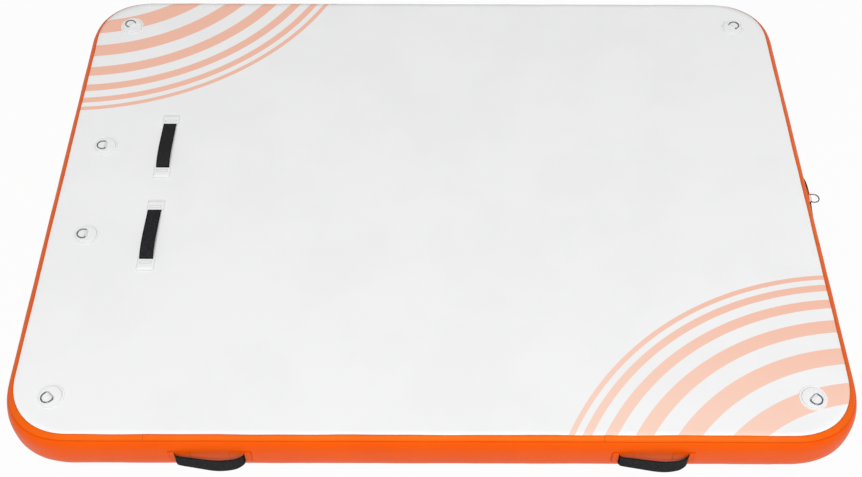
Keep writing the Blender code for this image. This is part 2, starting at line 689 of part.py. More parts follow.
def build_valve_inside():
    """The nut inside the wall, and the sprung stem with its seal."""
    liner = [section(angle, -WALL - GAP - LINER) for angle in LINER_ANGLES[::-1]]
    reach = np.interp(THICKNESS / 2 + NUT_RADIUS, [high for _, high in liner], [far for far, _ in liner])
    nut_top = float(reach) - BULGE - GAP
    turned("valve_nut", [
        (NUT_RADIUS, nut_top), (NUT_RADIUS, nut_top - NUT), (BARREL_RADIUS + GAP, nut_top - NUT),
        (BARREL_RADIUS + GAP, nut_top)], PLASTIC, VALVE_PLACE, closed=True)
    turned("valve_stem", [
        (0, -STEM_HEAD_DEPTH), (STEM_HEAD_RADIUS, -STEM_HEAD_DEPTH), (STEM_HEAD_RADIUS, HEAD_LOW),
        (STEM_RADIUS, HEAD_LOW), (STEM_RADIUS, PLATE_TOP), (STEM_PLATE_RADIUS, PLATE_TOP),
        (STEM_PLATE_RADIUS, PLATE_TOP - STEM_PLATE), (0, PLATE_TOP - STEM_PLATE)],
        PLASTIC, VALVE_PLACE)
    turned("valve_seal", [
        (SEAL_RADIUS, SEAL_TOP), (SEAL_RADIUS, SEAL_TOP - SEAL),
        (STEM_RADIUS + GAP, SEAL_TOP - SEAL), (STEM_RADIUS + GAP, SEAL_TOP)],
        RUBBER, VALVE_PLACE, closed=True)
    low = -SEAT_DEPTH + GAP + SPRING_WIRE / 2
    high = HEAD_LOW - GAP - SPRING_WIRE / 2
    count = SPRING_TURNS * SPRING_STEPS
    coil = []
    for step in range(count + 1):
        turn = math.tau * step / SPRING_STEPS
        coil.append((GUIDE_RADIUS * math.cos(turn), GUIDE_RADIUS * math.sin(turn),
                     low + (high - low) * step / count))
    wire("valve_spring", coil, SPRING_WIRE, 1, STEEL, VALVE_PLACE)


def build_valve_cap():
    """The cap with its seal ring, and the tether that keeps it."""
    groove_high = CAP_LOW - O_RING_DROP + O_RING_WIRE / 2 + GAP
    groove_low = CAP_LOW - O_RING_DROP - O_RING_WIRE / 2 - GAP
    groove_radius = PLUG_RADIUS - O_RING_WIRE - GAP
    cup_radius = groove_radius - CAP_WALL
    cap = turned("valve_cap", [
        (0, CAP_LOW + CAP_HEAD), (CAP_RADIUS, CAP_LOW + CAP_HEAD), (CAP_RADIUS, CAP_LOW),
        (PLUG_RADIUS, CAP_LOW), (PLUG_RADIUS, groove_high), (groove_radius, groove_high),
        (groove_radius, groove_low), (PLUG_RADIUS, groove_low),
        (PLUG_RADIUS, CAP_LOW - CAP_PLUG_DEPTH), (cup_radius, CAP_LOW - CAP_PLUG_DEPTH),
        (cup_radius, CAP_LOW), (0, CAP_LOW)], PLASTIC, VALVE_PLACE)
    grip_low = CAP_LOW + CAP_HEAD / 2
    reach = CAP_RADIUS - CAP_GRIP_INSET
    grip = box((-reach, -CAP_GRIP_WIDTH / 2, grip_low),
               (reach, CAP_GRIP_WIDTH / 2, CAP_LOW + CAP_HEAD + CAP_GRIP_HEIGHT))
    boolean(cap, "UNION", cutter("cap_grip", mesh_of(grip, "cap_grip"), VALVE_PLACE))
    circle = []
    for step in range(VALVE_STEPS):
        turn = math.tau * step / VALVE_STEPS
        radius = PLUG_RADIUS - O_RING_WIRE / 2
        circle.append((radius * math.cos(turn), radius * math.sin(turn), CAP_LOW - O_RING_DROP))
    wire("valve_cap_o_ring", circle, O_RING_WIRE, 1, RUBBER, VALVE_PLACE, cyclic=True)

    cap_ring = PLUG_RADIUS + GAP
    collar_ring = COLLAR_RADIUS + GAP
    low = FLANGE_TOP + GAP
    top = TETHER_LOW + TETHER
    bend = (top - low) / 2
    turn_y = -(collar_ring + TETHER_RING + TETHER_REACH)
    outer = [(turn_y - bend * math.sin(turn), low + bend - bend * math.cos(turn))
             for turn in np.linspace(0, math.pi, 7)]
    inner = [(turn_y - (bend - TETHER) * math.sin(turn), low + bend - (bend - TETHER) * math.cos(turn))
             for turn in np.linspace(math.pi, 0, 7)]
    starts = [(-(cap_ring + TETHER_RING / 2), top), (-(cap_ring + TETHER_RING / 2), top - TETHER)]
    ends = [(-(collar_ring + TETHER_RING / 2), low + TETHER), (-(collar_ring + TETHER_RING / 2), low)]
    strip = flat_shape("tether_strip", [outer + starts + inner + ends], TETHER_WIDTH)
    strip_bm = bmesh.new()
    strip_bm.from_mesh(solid_mesh(strip, UPRIGHT))
    washer = [disc(cap_ring + TETHER_RING, TETHER_LOW, top, VALVE_STEPS),
              disc(cap_ring, TETHER_LOW - OVERRUN, top + OVERRUN, VALVE_STEPS),
              disc(collar_ring + TETHER_RING, low, low + TETHER, VALVE_STEPS),
              disc(collar_ring, low - OVERRUN, low + TETHER + GAP, VALVE_STEPS)]
    tether = carved("valve_cap_tether", strip_bm, [
        ("UNION", washer[0]), ("DIFFERENCE", washer[1]),
        ("UNION", washer[2]), ("DIFFERENCE", washer[3])])
    add("valve_cap_tether", tether, PLASTIC, VALVE_PLACE)


for old in list(bpy.data.objects):
    bpy.data.objects.remove(old)

PARTS = bpy.data.collections.new("inflatable_dock_platform")
CUTTERS = bpy.data.collections.new("cutters")
for made in (PARTS, CUTTERS):
    bpy.context.scene.collection.children.link(made)

WHITE = paint("white_pvc", (244, 244, 243), 0.45)
GREY = paint("pale_grey_pvc", (214, 216, 218), 0.5)
ORANGE = paint("orange_pvc", (248, 96, 10), 0.38)
TAPE_ORANGE = paint("orange_tape", (250, 120, 42), 0.36)
BLACK = paint("black_webbing", (38, 38, 40), 0.85)
STEEL = paint("stainless_steel", (170, 172, 175), 0.22, 1.0)
PLASTIC = paint("valve_plastic", (205, 207, 210), 0.4)
RUBBER = paint("rubber", (40, 40, 42), 0.7)
YARN = paint("polyester_yarn", (228, 226, 220), 0.8)

PAD_MESH = pad_mesh()
build_hull()
build_rings()
build_handles()
build_valve_body()
build_valve_inside()
build_valve_cap()
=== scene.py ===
# %% [markdown]
# # An inflatable dock platform, dressed for its picture
#
# The platform is a flat air chamber: two coated cloths tied together by thousands of
# yarns, with a strip of coated cloth glued round the side. Hard parts sit on it, such as
# D-rings and a valve. The packed model gives us the place and size of every piece.
# Here we make what the eye sees, piece by piece, in the same metres and the same frame.
#
# We start by loading that model, because every later cell measures from it.

import json
import math

import bmesh
import bpy
import numpy as np
from mathutils import Matrix, Vector


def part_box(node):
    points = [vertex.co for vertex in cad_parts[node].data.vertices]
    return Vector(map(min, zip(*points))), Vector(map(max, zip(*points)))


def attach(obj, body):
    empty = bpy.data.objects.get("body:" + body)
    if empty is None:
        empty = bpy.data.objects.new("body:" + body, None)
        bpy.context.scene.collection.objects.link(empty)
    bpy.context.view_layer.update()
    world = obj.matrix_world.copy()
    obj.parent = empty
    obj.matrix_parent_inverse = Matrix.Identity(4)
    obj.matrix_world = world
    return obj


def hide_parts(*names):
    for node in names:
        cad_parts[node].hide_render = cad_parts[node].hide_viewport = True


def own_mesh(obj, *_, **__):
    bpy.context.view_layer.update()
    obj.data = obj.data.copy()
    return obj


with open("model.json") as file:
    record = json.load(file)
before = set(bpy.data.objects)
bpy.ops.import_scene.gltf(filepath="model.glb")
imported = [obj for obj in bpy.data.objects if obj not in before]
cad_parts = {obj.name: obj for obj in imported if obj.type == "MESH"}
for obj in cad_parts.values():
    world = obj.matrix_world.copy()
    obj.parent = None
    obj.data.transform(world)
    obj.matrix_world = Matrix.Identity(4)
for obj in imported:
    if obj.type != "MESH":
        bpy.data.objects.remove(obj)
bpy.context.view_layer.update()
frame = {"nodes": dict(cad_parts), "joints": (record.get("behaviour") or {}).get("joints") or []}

# %% Overall sizes, read from the model
wall_low, wall_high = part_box("side_wall")
LENGTH = wall_high.x - wall_low.x
WIDTH = wall_high.y - wall_low.y
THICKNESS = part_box("deck_skin")[1].z
print("platform", round(LENGTH, 3), round(WIDTH, 3), round(THICKNESS, 3))

# %% [markdown]
# ## The camera
#
# The photograph looks down at the deck from in front. Its focal length, height and tilt
# were worked out from the straight edges of the deck and its two round stripes, so the
# numbers below are a fitted camera. The camera comes first, because it shows early
# whether a piece is in the right place.

# %% Camera at the photograph's view
CAMERA_SPOT = (-0.0080, -2.5459, 3.158)
CAMERA_DOWN = 52.0275
CAMERA_TURN = -0.1141
CAMERA_ROLL = 0.2452
LENS_MM = 51.22
SENSOR_MM = 36


def make_camera():
    """The fitted camera, which looks down and along +Y."""
    lens = bpy.data.cameras.new("photo_camera")
    lens.sensor_width = SENSOR_MM
    lens.lens = LENS_MM
    camera = bpy.data.objects.new("photo_camera", lens)
    bpy.context.scene.collection.objects.link(camera)
    turn = Matrix.Rotation(math.radians(CAMERA_TURN), 4, "Z")
    tilt = Matrix.Rotation(math.radians(90 - CAMERA_DOWN), 4, "X")
    roll = Matrix.Rotation(math.radians(CAMERA_ROLL), 4, "Z")
    camera.matrix_world = Matrix.Translation(CAMERA_SPOT) @ turn @ tilt @ roll
    bpy.context.scene.camera = camera
    return camera


print("camera", make_camera().name)

# %% [markdown]
# ## A small language for finishes
#
# A finish is a graph of nodes, which is slow to write and hard to read one node at a
# time. A sum is easier to read than its nodes, so the class `Value` wraps a socket and
# lets `1 - mask * 0.5` add its own Math nodes. Only numbers go through them: Math would
# turn a colour grey, so colours and vectors go through Mix and Vector Math.

# %% Value: a socket that takes part in sums
class Value:
    """A socket of a node graph, with Python's operators."""

    def __init__(self, graph, socket):
        self.graph = graph
        self.socket = socket

    def maths(self, operation, first, second=0.0):
        """One Math node."""
        return self.graph.node("ShaderNodeMath", {"operation": operation}, {0: first, 1: second})

    def __add__(self, other):
        return self.maths("ADD", self, other)

    def __radd__(self, other):
        return self.maths("ADD", other, self)

    def __sub__(self, other):
        return self.maths("SUBTRACT", self, other)

    def __rsub__(self, other):
        return self.maths("SUBTRACT", other, self)

    def __mul__(self, other):
        return self.maths("MULTIPLY", self, other)

    def __rmul__(self, other):
        return self.maths("MULTIPLY", other, self)

    def __truediv__(self, other):
        return self.maths("DIVIDE", self, other)

    def __floor__(self):
        return self.maths("FLOOR", self)

    def sine(self):
        """Sine of the value in radians."""
        return self.maths("SINE", self)

    def least(self, other):
        """The smaller of two values."""
        return self.maths("MINIMUM", self, other)

    def ramp(self, low, high, start=0.0, end=1.0):
        """Smoothly from start to end while the value goes from low to high."""
        return self.graph.node("ShaderNodeMapRange", {"interpolation_type": "SMOOTHSTEP"},
                               {"Value": self, "From Min": low, "From Max": high,
                                "To Min": start, "To Max": end})


print("Value knows", [name.strip("_") for name, part in vars(Value).items() if callable(part)])

# %% [markdown]
# ## One method for every other node
#
# Each node type has its own settings and sockets. A method per type would be a long list,
# so `node` takes the type, the settings and the sockets as they are named in Blender.
# Settings go in first, because some of them change which sockets a node has. A `Finish`
# adds what every material here needs: a shader and a place on the object in metres.

# %% Graph: every other node in one method
MIX_FACTOR, MIX_FIRST, MIX_SECOND, MIX_RESULT = 0, 6, 7, 2


class Graph:
    """A node tree."""

    def __init__(self, tree):
        self.tree = tree

    def feed(self, socket, value):
        """Links a value to a socket, or writes a plain one into it."""
        if isinstance(value, Value):
            self.tree.links.new(value.socket, socket)
        else:
            socket.default_value = value

    def node(self, kind, settings=None, sockets=None, output=0):
        """Adds a node: settings and ramp stops first, then values or links for its sockets."""
        made = self.tree.nodes.new(kind)
        for name, setting in (settings or {}).items():
            if name == "stops":
                self.set_stops(made.color_ramp, setting)
            else:
                setattr(made, name, setting)
        for name, value in (sockets or {}).items():
            self.feed(made.inputs[name], value)
        return Value(self, made.outputs[output])

    def set_stops(self, ramp, stops):
        """Steps of a colour ramp, each a pair of place and grey level, with no blend between."""
        ramp.interpolation = "CONSTANT"
        while len(ramp.elements) < len(stops):
            ramp.elements.new(1.0)
        for element, (place, level) in zip(ramp.elements, stops):
            element.position = place
            element.color = (level, level, level, 1)

    def blend(self, factor, first, second):
        """A colour between two others."""
        return self.node("ShaderNodeMix", {"data_type": "RGBA"},
                         {MIX_FACTOR: factor, MIX_FIRST: first, MIX_SECOND: second},
                         output=MIX_RESULT)


print("node helper:", Graph.node.__doc__)

# %% Finish: one material
FULL_LEVEL = 255
SRGB_OFFSET = 0.055
SRGB_POWER = 2.4
NOISE_DETAIL = 3.0


class Finish(Graph):
    """One material, whose patterns are placed in metres on the object."""

    def __init__(self, name, colour, roughness, metallic=0.0):
        self.material = bpy.data.materials.new(name)
        self.material.use_nodes = True
        super().__init__(self.material.node_tree)
        self.shader = self.tree.nodes["Principled BSDF"]
        self.place = self.node("ShaderNodeTexCoord", output="Object")
        self.set("Base Color", colour)
        self.set("Roughness", roughness)
        self.set("Metallic", metallic)

    def set(self, socket, value):
        """Feeds a socket of the shader."""
        self.feed(self.shader.inputs[socket], value)

    def axes(self, vector=None):
        """The three numbers of a vector, of the place on the object if none is given."""
        return [self.node("ShaderNodeSeparateXYZ", {}, {0: vector or self.place}, output=axis)
                for axis in range(3)]

    def noise(self, size, detail=NOISE_DETAIL, stretch=(1, 1, 1)):
        """Soft random cloud whose lumps are about size metres."""
        spot = self.node("ShaderNodeVectorMath", {"operation": "MULTIPLY"},
                         {0: self.place, 1: stretch})
        return self.node("ShaderNodeTexNoise", {},
                         {"Vector": spot, "Scale": 1 / size, "Detail": detail})

    def edge(self):
        """The mark that meshes carry near edges and creases, 1 there and 0 away, where finishes paint
        shade.
        """
        return self.node("ShaderNodeAttribute", {"attribute_name": "edge"}, output="Fac")

    def bump(self, height, distance):
        """Lights the surface as if raised by height times distance in metres."""
        self.set("Normal", self.node("ShaderNodeBump", {}, {"Height": height,
                                                            "Distance": distance}))


def srgb(red, green, blue):
    """The shader's linear colour of a colour given in 0 to 255."""
    linear = [((level / FULL_LEVEL + SRGB_OFFSET) / (1 + SRGB_OFFSET)) ** SRGB_POWER
              for level in (red, green, blue)]
    return (*linear, 1.0)


print("middle grey in linear light:", round(srgb(128, 128, 128)[0], 3))

# %% [markdown]
# ## The deck's cloth
#
# The deck is white PVC on woven cloth. Close up, the coating follows the threads in a
# fine grain; from further away it is faintly uneven. Two families of salmon rings are
# printed on it, round a point just outside two opposite corners. Rings could be cut
# pieces of mesh, but print has no thickness, so they are part of the colour: the
# distance to the nearer centre runs through a ramp with hard steps. The ink is painted
# paler towards the front of the deck, a painted sheen for the light's glare there.

# %% Coated cloth
CLOTH_THREAD = 0.0011
CLOTH_RELIEF = 0.00005
CLOTH_SHINE = 0.4
SHADE_AND_GRIME_SHARE = 0.42
SHADE_AND_GRIME_SPECKS = 0.4
CLOUD = 0.22
CLOUD_RANGE = (0.38, 0.66)
CLOUD_SHARE = 0.8
CLOUD_ROUGHNESS = 0.08
SPECK = 0.004
SPECK_DETAIL = 2.0
SPECK_SHARE = 0.2
SPECK_ROUGHNESS = 0.12
SPECK_HEIGHT = 0.6
GRAIN_HEIGHT = 0.25
SWELL = 0.05
SWELL_HEIGHT = 6


def cloth_grain(finish):
    """Crossing threads that show through a coating."""
    x, y, z = ((part * (math.tau / CLOTH_THREAD)).sine() for part in finish.axes())
    return x * y + y * z + z * x


def coated_cloth(name, colour, shade, roughness, shine=CLOTH_SHINE, edge_shade_and_grime=None,
                 shade_and_grime_share=SHADE_AND_GRIME_SHARE):
    """PVC on cloth: a grain from the threads, and slow changes of colour and gloss."""
    finish = Finish(name, colour, roughness)
    clouds = finish.noise(CLOUD)
    specks = finish.noise(SPECK, detail=SPECK_DETAIL)
    tone = clouds.ramp(*CLOUD_RANGE) * CLOUD_SHARE + specks * SPECK_SHARE
    finish.colour = finish.blend(tone, colour, shade)
    # Painted shade, with some grime, darkens the points that the mesh marks near edges and creases.
    if edge_shade_and_grime:
        shade_and_grime_mask = finish.edge() * (shade_and_grime_share + (specks - 0.5) * SHADE_AND_GRIME_SPECKS)
        finish.colour = finish.blend(shade_and_grime_mask, finish.colour, edge_shade_and_grime)
    finish.set("Base Color", finish.colour)
    finish.set("Roughness", roughness + (specks - 0.5) * SPECK_ROUGHNESS
               + (clouds - 0.5) * CLOUD_ROUGHNESS)
    finish.set("Specular IOR Level", shine)
    swell = finish.noise(SWELL, detail=SPECK_DETAIL)
    finish.bump(cloth_grain(finish) * GRAIN_HEIGHT + specks * SPECK_HEIGHT + swell * SWELL_HEIGHT,
                CLOTH_RELIEF)
    return finish


print("cloth thread", CLOTH_THREAD, "m; clouds", CLOUD, "m; specks", SPECK, "m")

# %% Deck finish with its printed rings
PRINT_CENTRES = ((1.2505, -1.299, 0), (-1.246, 1.312, 0))
PRINT_BANDS = ((0.520, 0.586), (0.650, 0.705), (0.758, 0.803), (0.843, 0.877),
               (0.908, 0.932), (0.952, 0.964))
PRINT_SCALE = 0.997
DECK_WHITE = (0.877, 0.878, 0.879, 1)
DECK_SHADE = (0.852, 0.853, 0.855, 1)
PRINT_SALMON = (0.885, 0.50, 0.378, 1)
PRINT_PALE_SHEEN = (0.92, 0.63, 0.515, 1)
SHEEN_START = -0.1
SHEEN_END = 0.75
SHEEN_ASLANT = 0.35


def printed_rings(finish):
    """One where the ring print lies, zero elsewhere."""
    flat = finish.node("ShaderNodeVectorMath", {"operation": "MULTIPLY"},
                       {0: finish.place, 1: (1, 1, 0)})
    away = [finish.node("ShaderNodeVectorMath", {"operation": "DISTANCE"}, {0: flat, 1: centre},
                        output="Value") for centre in PRINT_CENTRES]
    stops = [(0, 0)]
    for inner, outer in PRINT_BANDS:
        stops += [(inner * PRINT_SCALE, 1), (outer * PRINT_SCALE, 0)]
    return finish.node("ShaderNodeValToRGB", {"stops": stops}, {0: away[0].least(away[1])})


DECK = coated_cloth("deck_pvc", DECK_WHITE, DECK_SHADE, roughness=0.5)
deck_x, deck_y, _ = DECK.axes()
# Painted sheen: the print turns paler towards the front and the left of the deck.
print_sheen = (deck_x * -SHEEN_ASLANT - deck_y).ramp(SHEEN_START, SHEEN_END)
DECK.set("Base Color", DECK.blend(printed_rings(DECK), DECK.colour,
                                  DECK.blend(print_sheen, PRINT_SALMON, PRINT_PALE_SHEEN)))
# The white patches' darkest edge colour is painted shade, with some grime, on their marked edges and
# lips.
WHITE_PATCH = coated_cloth("white_patch_pvc", colour=(0.862, 0.863, 0.865, 1),
                           shade=(0.835, 0.837, 0.84, 1), roughness=0.6, shine=0.12,
                           edge_shade_and_grime=(0.52, 0.53, 0.54, 1))
UNDERSIDE = coated_cloth("bottom_pvc", colour=(0.68, 0.69, 0.70, 1),
                         shade=(0.62, 0.63, 0.65, 1), roughness=0.55)
print("deck finish with", len(PRINT_BANDS), "rings a corner")

# %% [markdown]
# ## Orange walls and tapes
#
# The side wall and the tapes over its seams are the same coated cloth in orange. The
# tape's orange is painted a little lighter, a painted sheen, and both catch a soft shine.
# A white shine would bleach the orange at this angle, so it is tinted. The grain is the
# deck's own, so one function serves all of them. Painted shade, with some grime, darkens
# the edges and creases, where the meshes carry a mark for it.

# %% Orange finishes
ORANGE_SHINE = 0.2
ORANGE_GLEAM = (1.0, 0.48, 0.12, 1)
# Painted shade, with some grime, on marked edges and creases of the orange cloth.
ORANGE_SHADE_AND_GRIME = (0.40, 0.034, 0.001, 1)


def orange_cloth(name, colour, shade, roughness, shade_and_grime_share):
    """Orange coated cloth, whose shine is orange too, with painted shade and some grime on its marked
    edges and creases.
    """
    finish = coated_cloth(name, colour, shade, roughness, shine=ORANGE_SHINE,
                          edge_shade_and_grime=ORANGE_SHADE_AND_GRIME, shade_and_grime_share=shade_and_grime_share)
    finish.set("Specular Tint", ORANGE_GLEAM)
    return finish


ORANGE = orange_cloth("orange_pvc", colour=(0.81, 0.094, 0.0012, 1),
                      shade=(0.775, 0.086, 0.002, 1), roughness=0.42, shade_and_grime_share=0.3)
# The tape's orange is lighter than the wall's: a painted sheen.
TAPE_FINISH = orange_cloth("orange_tape", colour=(0.79, 0.118, 0.006, 1),
                           shade=(0.76, 0.105, 0.005, 1), roughness=0.38, shade_and_grime_share=0.7)
ORANGE_PATCH = orange_cloth("orange_patch_pvc", colour=(0.81, 0.096, 0.0014, 1),
                            shade=(0.775, 0.088, 0.002, 1), roughness=0.42, shade_and_grime_share=0.5)
print("orange finishes", [finish.material.name for finish in (ORANGE, TAPE_FINISH, ORANGE_PATCH)])

# %% [markdown]
# ## Webbing
#
# Straps are woven nylon. Ribs run along the strap and each is crossed by small beads of
# weft, shifted by half a bead from rib to rib. A picture of cloth would stretch and
# repeat, so the weave is worked out from two lengths: the strap meshes carry a map named
# weave, in metres along and across, and the ribs follow every bend of the strap.

# %% Webbing finishes
STRAP_RIB = 0.0020
LOOP_RIB = 0.0011
BEAD_LENGTH = 1.6
STRAP_RELIEF = 0.00035
LOOP_RELIEF = 0.00012
RIB_PART = 0.45
BEAD_PART = 0.55
RIB_HIGHLIGHT = 0.75
FUZZ = 0.0009
FUZZ_TONE = 0.35
FUZZ_HEIGHT = 0.3
FUZZ_ROUGHNESS = 0.15
WORN = 0.0042
WORN_RANGE = (0.36, 0.66, 0.5, 1.0)
SELVEDGE_AND_SHADOW_TONE = 0.9
WEBBING_SHINE = 0.03


def webbing(name, colour, highlight_and_fibre_colour, roughness, rib_width, relief):
    """Woven webbing whose ribs follow the weave map, with a painted highlight on raised ribs and darker
    marked edges.
    """
    finish = Finish(name, colour, roughness)
    weave = finish.node("ShaderNodeUVMap", {"uv_map": "weave"})
    along, across, _ = finish.axes(weave)
    rib = across / rib_width
    whole = math.floor(rib)
    ridge = ((rib - whole) * math.pi).sine()
    bead = ((along / (BEAD_LENGTH * rib_width) + whole * 0.5) * math.tau).sine() * 0.5 + 0.5
    height = ridge * (RIB_PART + BEAD_PART * bead)
    fuzz = finish.noise(FUZZ)
    worn = finish.noise(WORN).ramp(*WORN_RANGE)
    # Painted highlight: raised ribs and beads are lighter. The edge mark darkens the selvedges and paints
    # shade beside the covers.
    tone = (height * RIB_HIGHLIGHT + fuzz * FUZZ_TONE) * worn * (1 - finish.edge() * SELVEDGE_AND_SHADOW_TONE)
    finish.set("Base Color", finish.blend(tone.least(1), colour, highlight_and_fibre_colour))
    finish.set("Roughness", roughness + (fuzz - 0.5) * FUZZ_ROUGHNESS)
    finish.set("Specular IOR Level", WEBBING_SHINE)
    finish.bump(height + fuzz * FUZZ_HEIGHT, relief)
    return finish


BLACK_WEBBING = webbing("black_webbing", colour=srgb(4, 4, 5), highlight_and_fibre_colour=srgb(66, 66, 68),
                        roughness=0.8, rib_width=STRAP_RIB, relief=STRAP_RELIEF)
WHITE_WEBBING = webbing("white_webbing", colour=srgb(205, 205, 206),
                        highlight_and_fibre_colour=srgb(246, 246, 246), roughness=0.7, rib_width=LOOP_RIB,
                        relief=LOOP_RELIEF)
print("webbing ribs", STRAP_RIB, "and", LOOP_RIB, "m apart")

# %% [markdown]
# ## Hard parts, rubber and yarn
#
# The rings are welded stainless wire, whose colour is painted dark: a painted reflection
# of dark surroundings. The valve is moulded plastic with a fine spark-eroded texture.
# Rubber is dark and matt, and the yarns inside the chamber are undyed polyester. One plain
# colour each would do from afar, but a little noise in colour, gloss and bump is what
# makes them look solid.

# %% Steel
# The steel's colour is painted dark, a painted reflection of dark surroundings.
STEEL_PAINTED_DARK = srgb(94, 96, 99)
STEEL_BRIGHT = srgb(136, 138, 141)
STEEL_ROUGHNESS = 0.2
SCRATCH = 0.0006
SCRATCH_DETAIL = 4.0
SCRATCH_STRETCH = (1, 1, 6)
SCRATCH_ROUGHNESS = 0.16
SCRATCH_RELIEF = 0.00002
SCUFF = 0.006
SCUFF_RANGE = (0.55, 0.72)
SCUFF_ROUGHNESS = 0.1


def brushed_steel():
    """Drawn wire: metal painted dark, a painted reflection, with fine scratches and small bright scuffs.
    """
    finish = Finish("steel", STEEL_PAINTED_DARK, STEEL_ROUGHNESS, metallic=1.0)
    scratches = finish.noise(SCRATCH, SCRATCH_DETAIL, SCRATCH_STRETCH)
    scuffs = finish.noise(SCUFF).ramp(*SCUFF_RANGE)
    finish.set("Base Color", finish.blend(scuffs, STEEL_PAINTED_DARK, STEEL_BRIGHT))
    finish.set("Roughness", STEEL_ROUGHNESS + scratches * SCRATCH_ROUGHNESS + scuffs * SCUFF_ROUGHNESS)
    finish.bump(scratches, SCRATCH_RELIEF)
    return finish


STEEL = brushed_steel()
print("metal finish", STEEL.material.name)

# %% Plastic and rubber
PIT = 0.0007
PIT_TONE = 0.3
PIT_ROUGHNESS = 0.2
PIT_RELIEF = 0.00004
BLUSH = 0.02
BLUSH_DETAIL = 2.0
BLUSH_RANGE = (0.35, 0.7)
BLUSH_TONE = 0.7


def moulded(name, colour, shade, roughness):
    """Moulded plastic or rubber with a fine eroded texture."""
    finish = Finish(name, colour, roughness)
    pits = finish.noise(PIT)
    blush = finish.noise(BLUSH, BLUSH_DETAIL).ramp(*BLUSH_RANGE)
    finish.set("Base Color", finish.blend(blush * BLUSH_TONE + pits * PIT_TONE, colour, shade))
    finish.set("Roughness", roughness + (pits - 0.5) * PIT_ROUGHNESS)
    finish.bump(pits, PIT_RELIEF)
    return finish


PLASTIC = moulded("valve_plastic", srgb(206, 208, 211), shade=srgb(192, 194, 198), roughness=0.42)
RUBBER = moulded("black_rubber", srgb(38, 38, 40), shade=srgb(30, 30, 32), roughness=0.68)
print("moulded finishes", PLASTIC.material.name, RUBBER.material.name)

# %% Thread and yarn
TWIST = 0.0012
TWIST_RELIEF = 0.0001
TWIST_ROUGHNESS = 0.75


def spun(name, colour, shade):
    """Twisted yarn or sewing thread."""
    finish = Finish(name, colour, TWIST_ROUGHNESS)
    x, y, z = finish.axes()
    twist = ((x + y + z) * (math.tau / TWIST)).sine() * 0.5 + 0.5
    # The twist's grooves are painted darker: painted shade that follows the bump.
    finish.set("Base Color", finish.blend(twist, shade, colour))
    finish.bump(twist, TWIST_RELIEF)
    return finish


THREAD = spun("grey_thread", srgb(138, 138, 140), shade=srgb(96, 96, 100))
ORANGE_THREAD = spun("orange_thread", srgb(196, 62, 22), shade=srgb(142, 36, 12))
YARN = spun("yarn", srgb(232, 230, 224), shade=srgb(196, 192, 184))
print("spun finishes", THREAD.material.name, ORANGE_THREAD.material.name, YARN.material.name)

# %% [markdown]
# ## Making meshes
#
# Nearly every soft piece here is a sheet or a strip, so it is a grid of points that runs
# along something and across something. One function turns such a grid into a mesh, closes
# it round when asked, caps its ends, and writes the weave map. A second function puts the
# mesh in the scene as a piece: its finish, the body it rides on and the model nodes that
# it stands for.

# %% Grid of points to mesh
def grid_mesh(name, rings, around=False, again=False, capped=False, along=None, across=None):
    """A mesh through rings of points: around closes each ring, again joins last to first."""
    rings = np.asarray(rings, float)
    count, size = rings.shape[:2]
    rows = count if again else count - 1
    columns = size if around else size - 1
    row, column = (part.ravel() for part in
                   np.meshgrid(np.arange(rows), np.arange(columns), indexing="ij"))
    steps = ((0, 0), (0, 1), (1, 1), (1, 0))
    faces = np.stack([(row + down) % count * size + (column + side) % size
                      for down, side in steps], axis=1).tolist()
    if capped:
        faces += [list(range(size))[::-1], [(count - 1) * size + k for k in range(size)]]
    mesh = bpy.data.meshes.new(name)
    mesh.from_pydata(rings.reshape(-1, 3).tolist(), [], faces)
    if along is not None:
        weave = mesh.uv_layers.new(name="weave")
        spots = np.zeros((len(mesh.loops), 2))
        spots[:4 * len(row)] = np.stack([np.stack([along[row + down], across[column + side]], axis=1)
                                         for down, side in steps], axis=1).reshape(-1, 2)
        weave.data.foreach_set("uv", spots.ravel())
    return mesh


def mark_edges(mesh, shares):
    """Writes how close each point is to a marked edge or crease, 1 on it and 0 away, for painted shade.
    """
    layer = mesh.attributes.new("edge", "FLOAT", "POINT")
    layer.data.foreach_set("value", np.ravel(shares).astype(np.float32))
    return mesh


def outward(mesh):
    """Turns the faces of closed bodies to point out."""
    bm = bmesh.new()
    bm.from_mesh(mesh)
    bmesh.ops.recalc_face_normals(bm, faces=bm.faces)
    bm.to_mesh(mesh)
    bm.free()
    return mesh


print("grid helper:", grid_mesh.__doc__)

# %% Mesh to piece
SHARP_ANGLE = 38


def piece(name, mesh, finish, stands_for=(), body="hull"):
    """Puts a mesh in the scene as a piece of the object."""
    mesh.name = name
    mesh.materials.clear()
    mesh.materials.append(finish.material)
    mesh.shade_smooth()
    mesh.set_sharp_from_angle(angle=math.radians(SHARP_ANGLE))
    made = bpy.data.objects.new(name, mesh)
    bpy.context.scene.collection.objects.link(made)
    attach(made, body)
    if stands_for:
        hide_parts(*stands_for)
    return made


def joined(*meshes):
    """One mesh of several, which keeps their weave maps and edge marks."""
    bm = bmesh.new()
    for mesh in meshes:
        bm.from_mesh(mesh)
    whole = bpy.data.meshes.new(meshes[0].name)
    bm.to_mesh(whole)
    bm.free()
    return whole


print("pieces turn sharp at", SHARP_ANGLE, "degrees")

# %% [markdown]
# ## The shape of the hull
#
# Seen in section, the side of a drop-stitch board is a fat curve: the yarns hold the two
# cloths flat and parallel, and the wall between them is blown out. A superellipse gives
# that shape with two numbers, the width of the roll and its exponent. We tabulate it by
# the distance run down the side from the deck, since tapes and patches are cut to lengths
# along the cloth.
#
# Seen from above, the deck's edge line is a rectangle with round corners. Any place on
# the hull is then three numbers: the distance along the edge line from the front's
# middle, the run down the side, and the distance out of the surface.

# %% Section of the side
CORNER_RADIUS = 0.21
ROLL = 0.046
ROUNDNESS = 2.75
SECTION_STEPS = 721
WHITE_INSET = 0.0289
TAPE_WIDTH = 0.0185


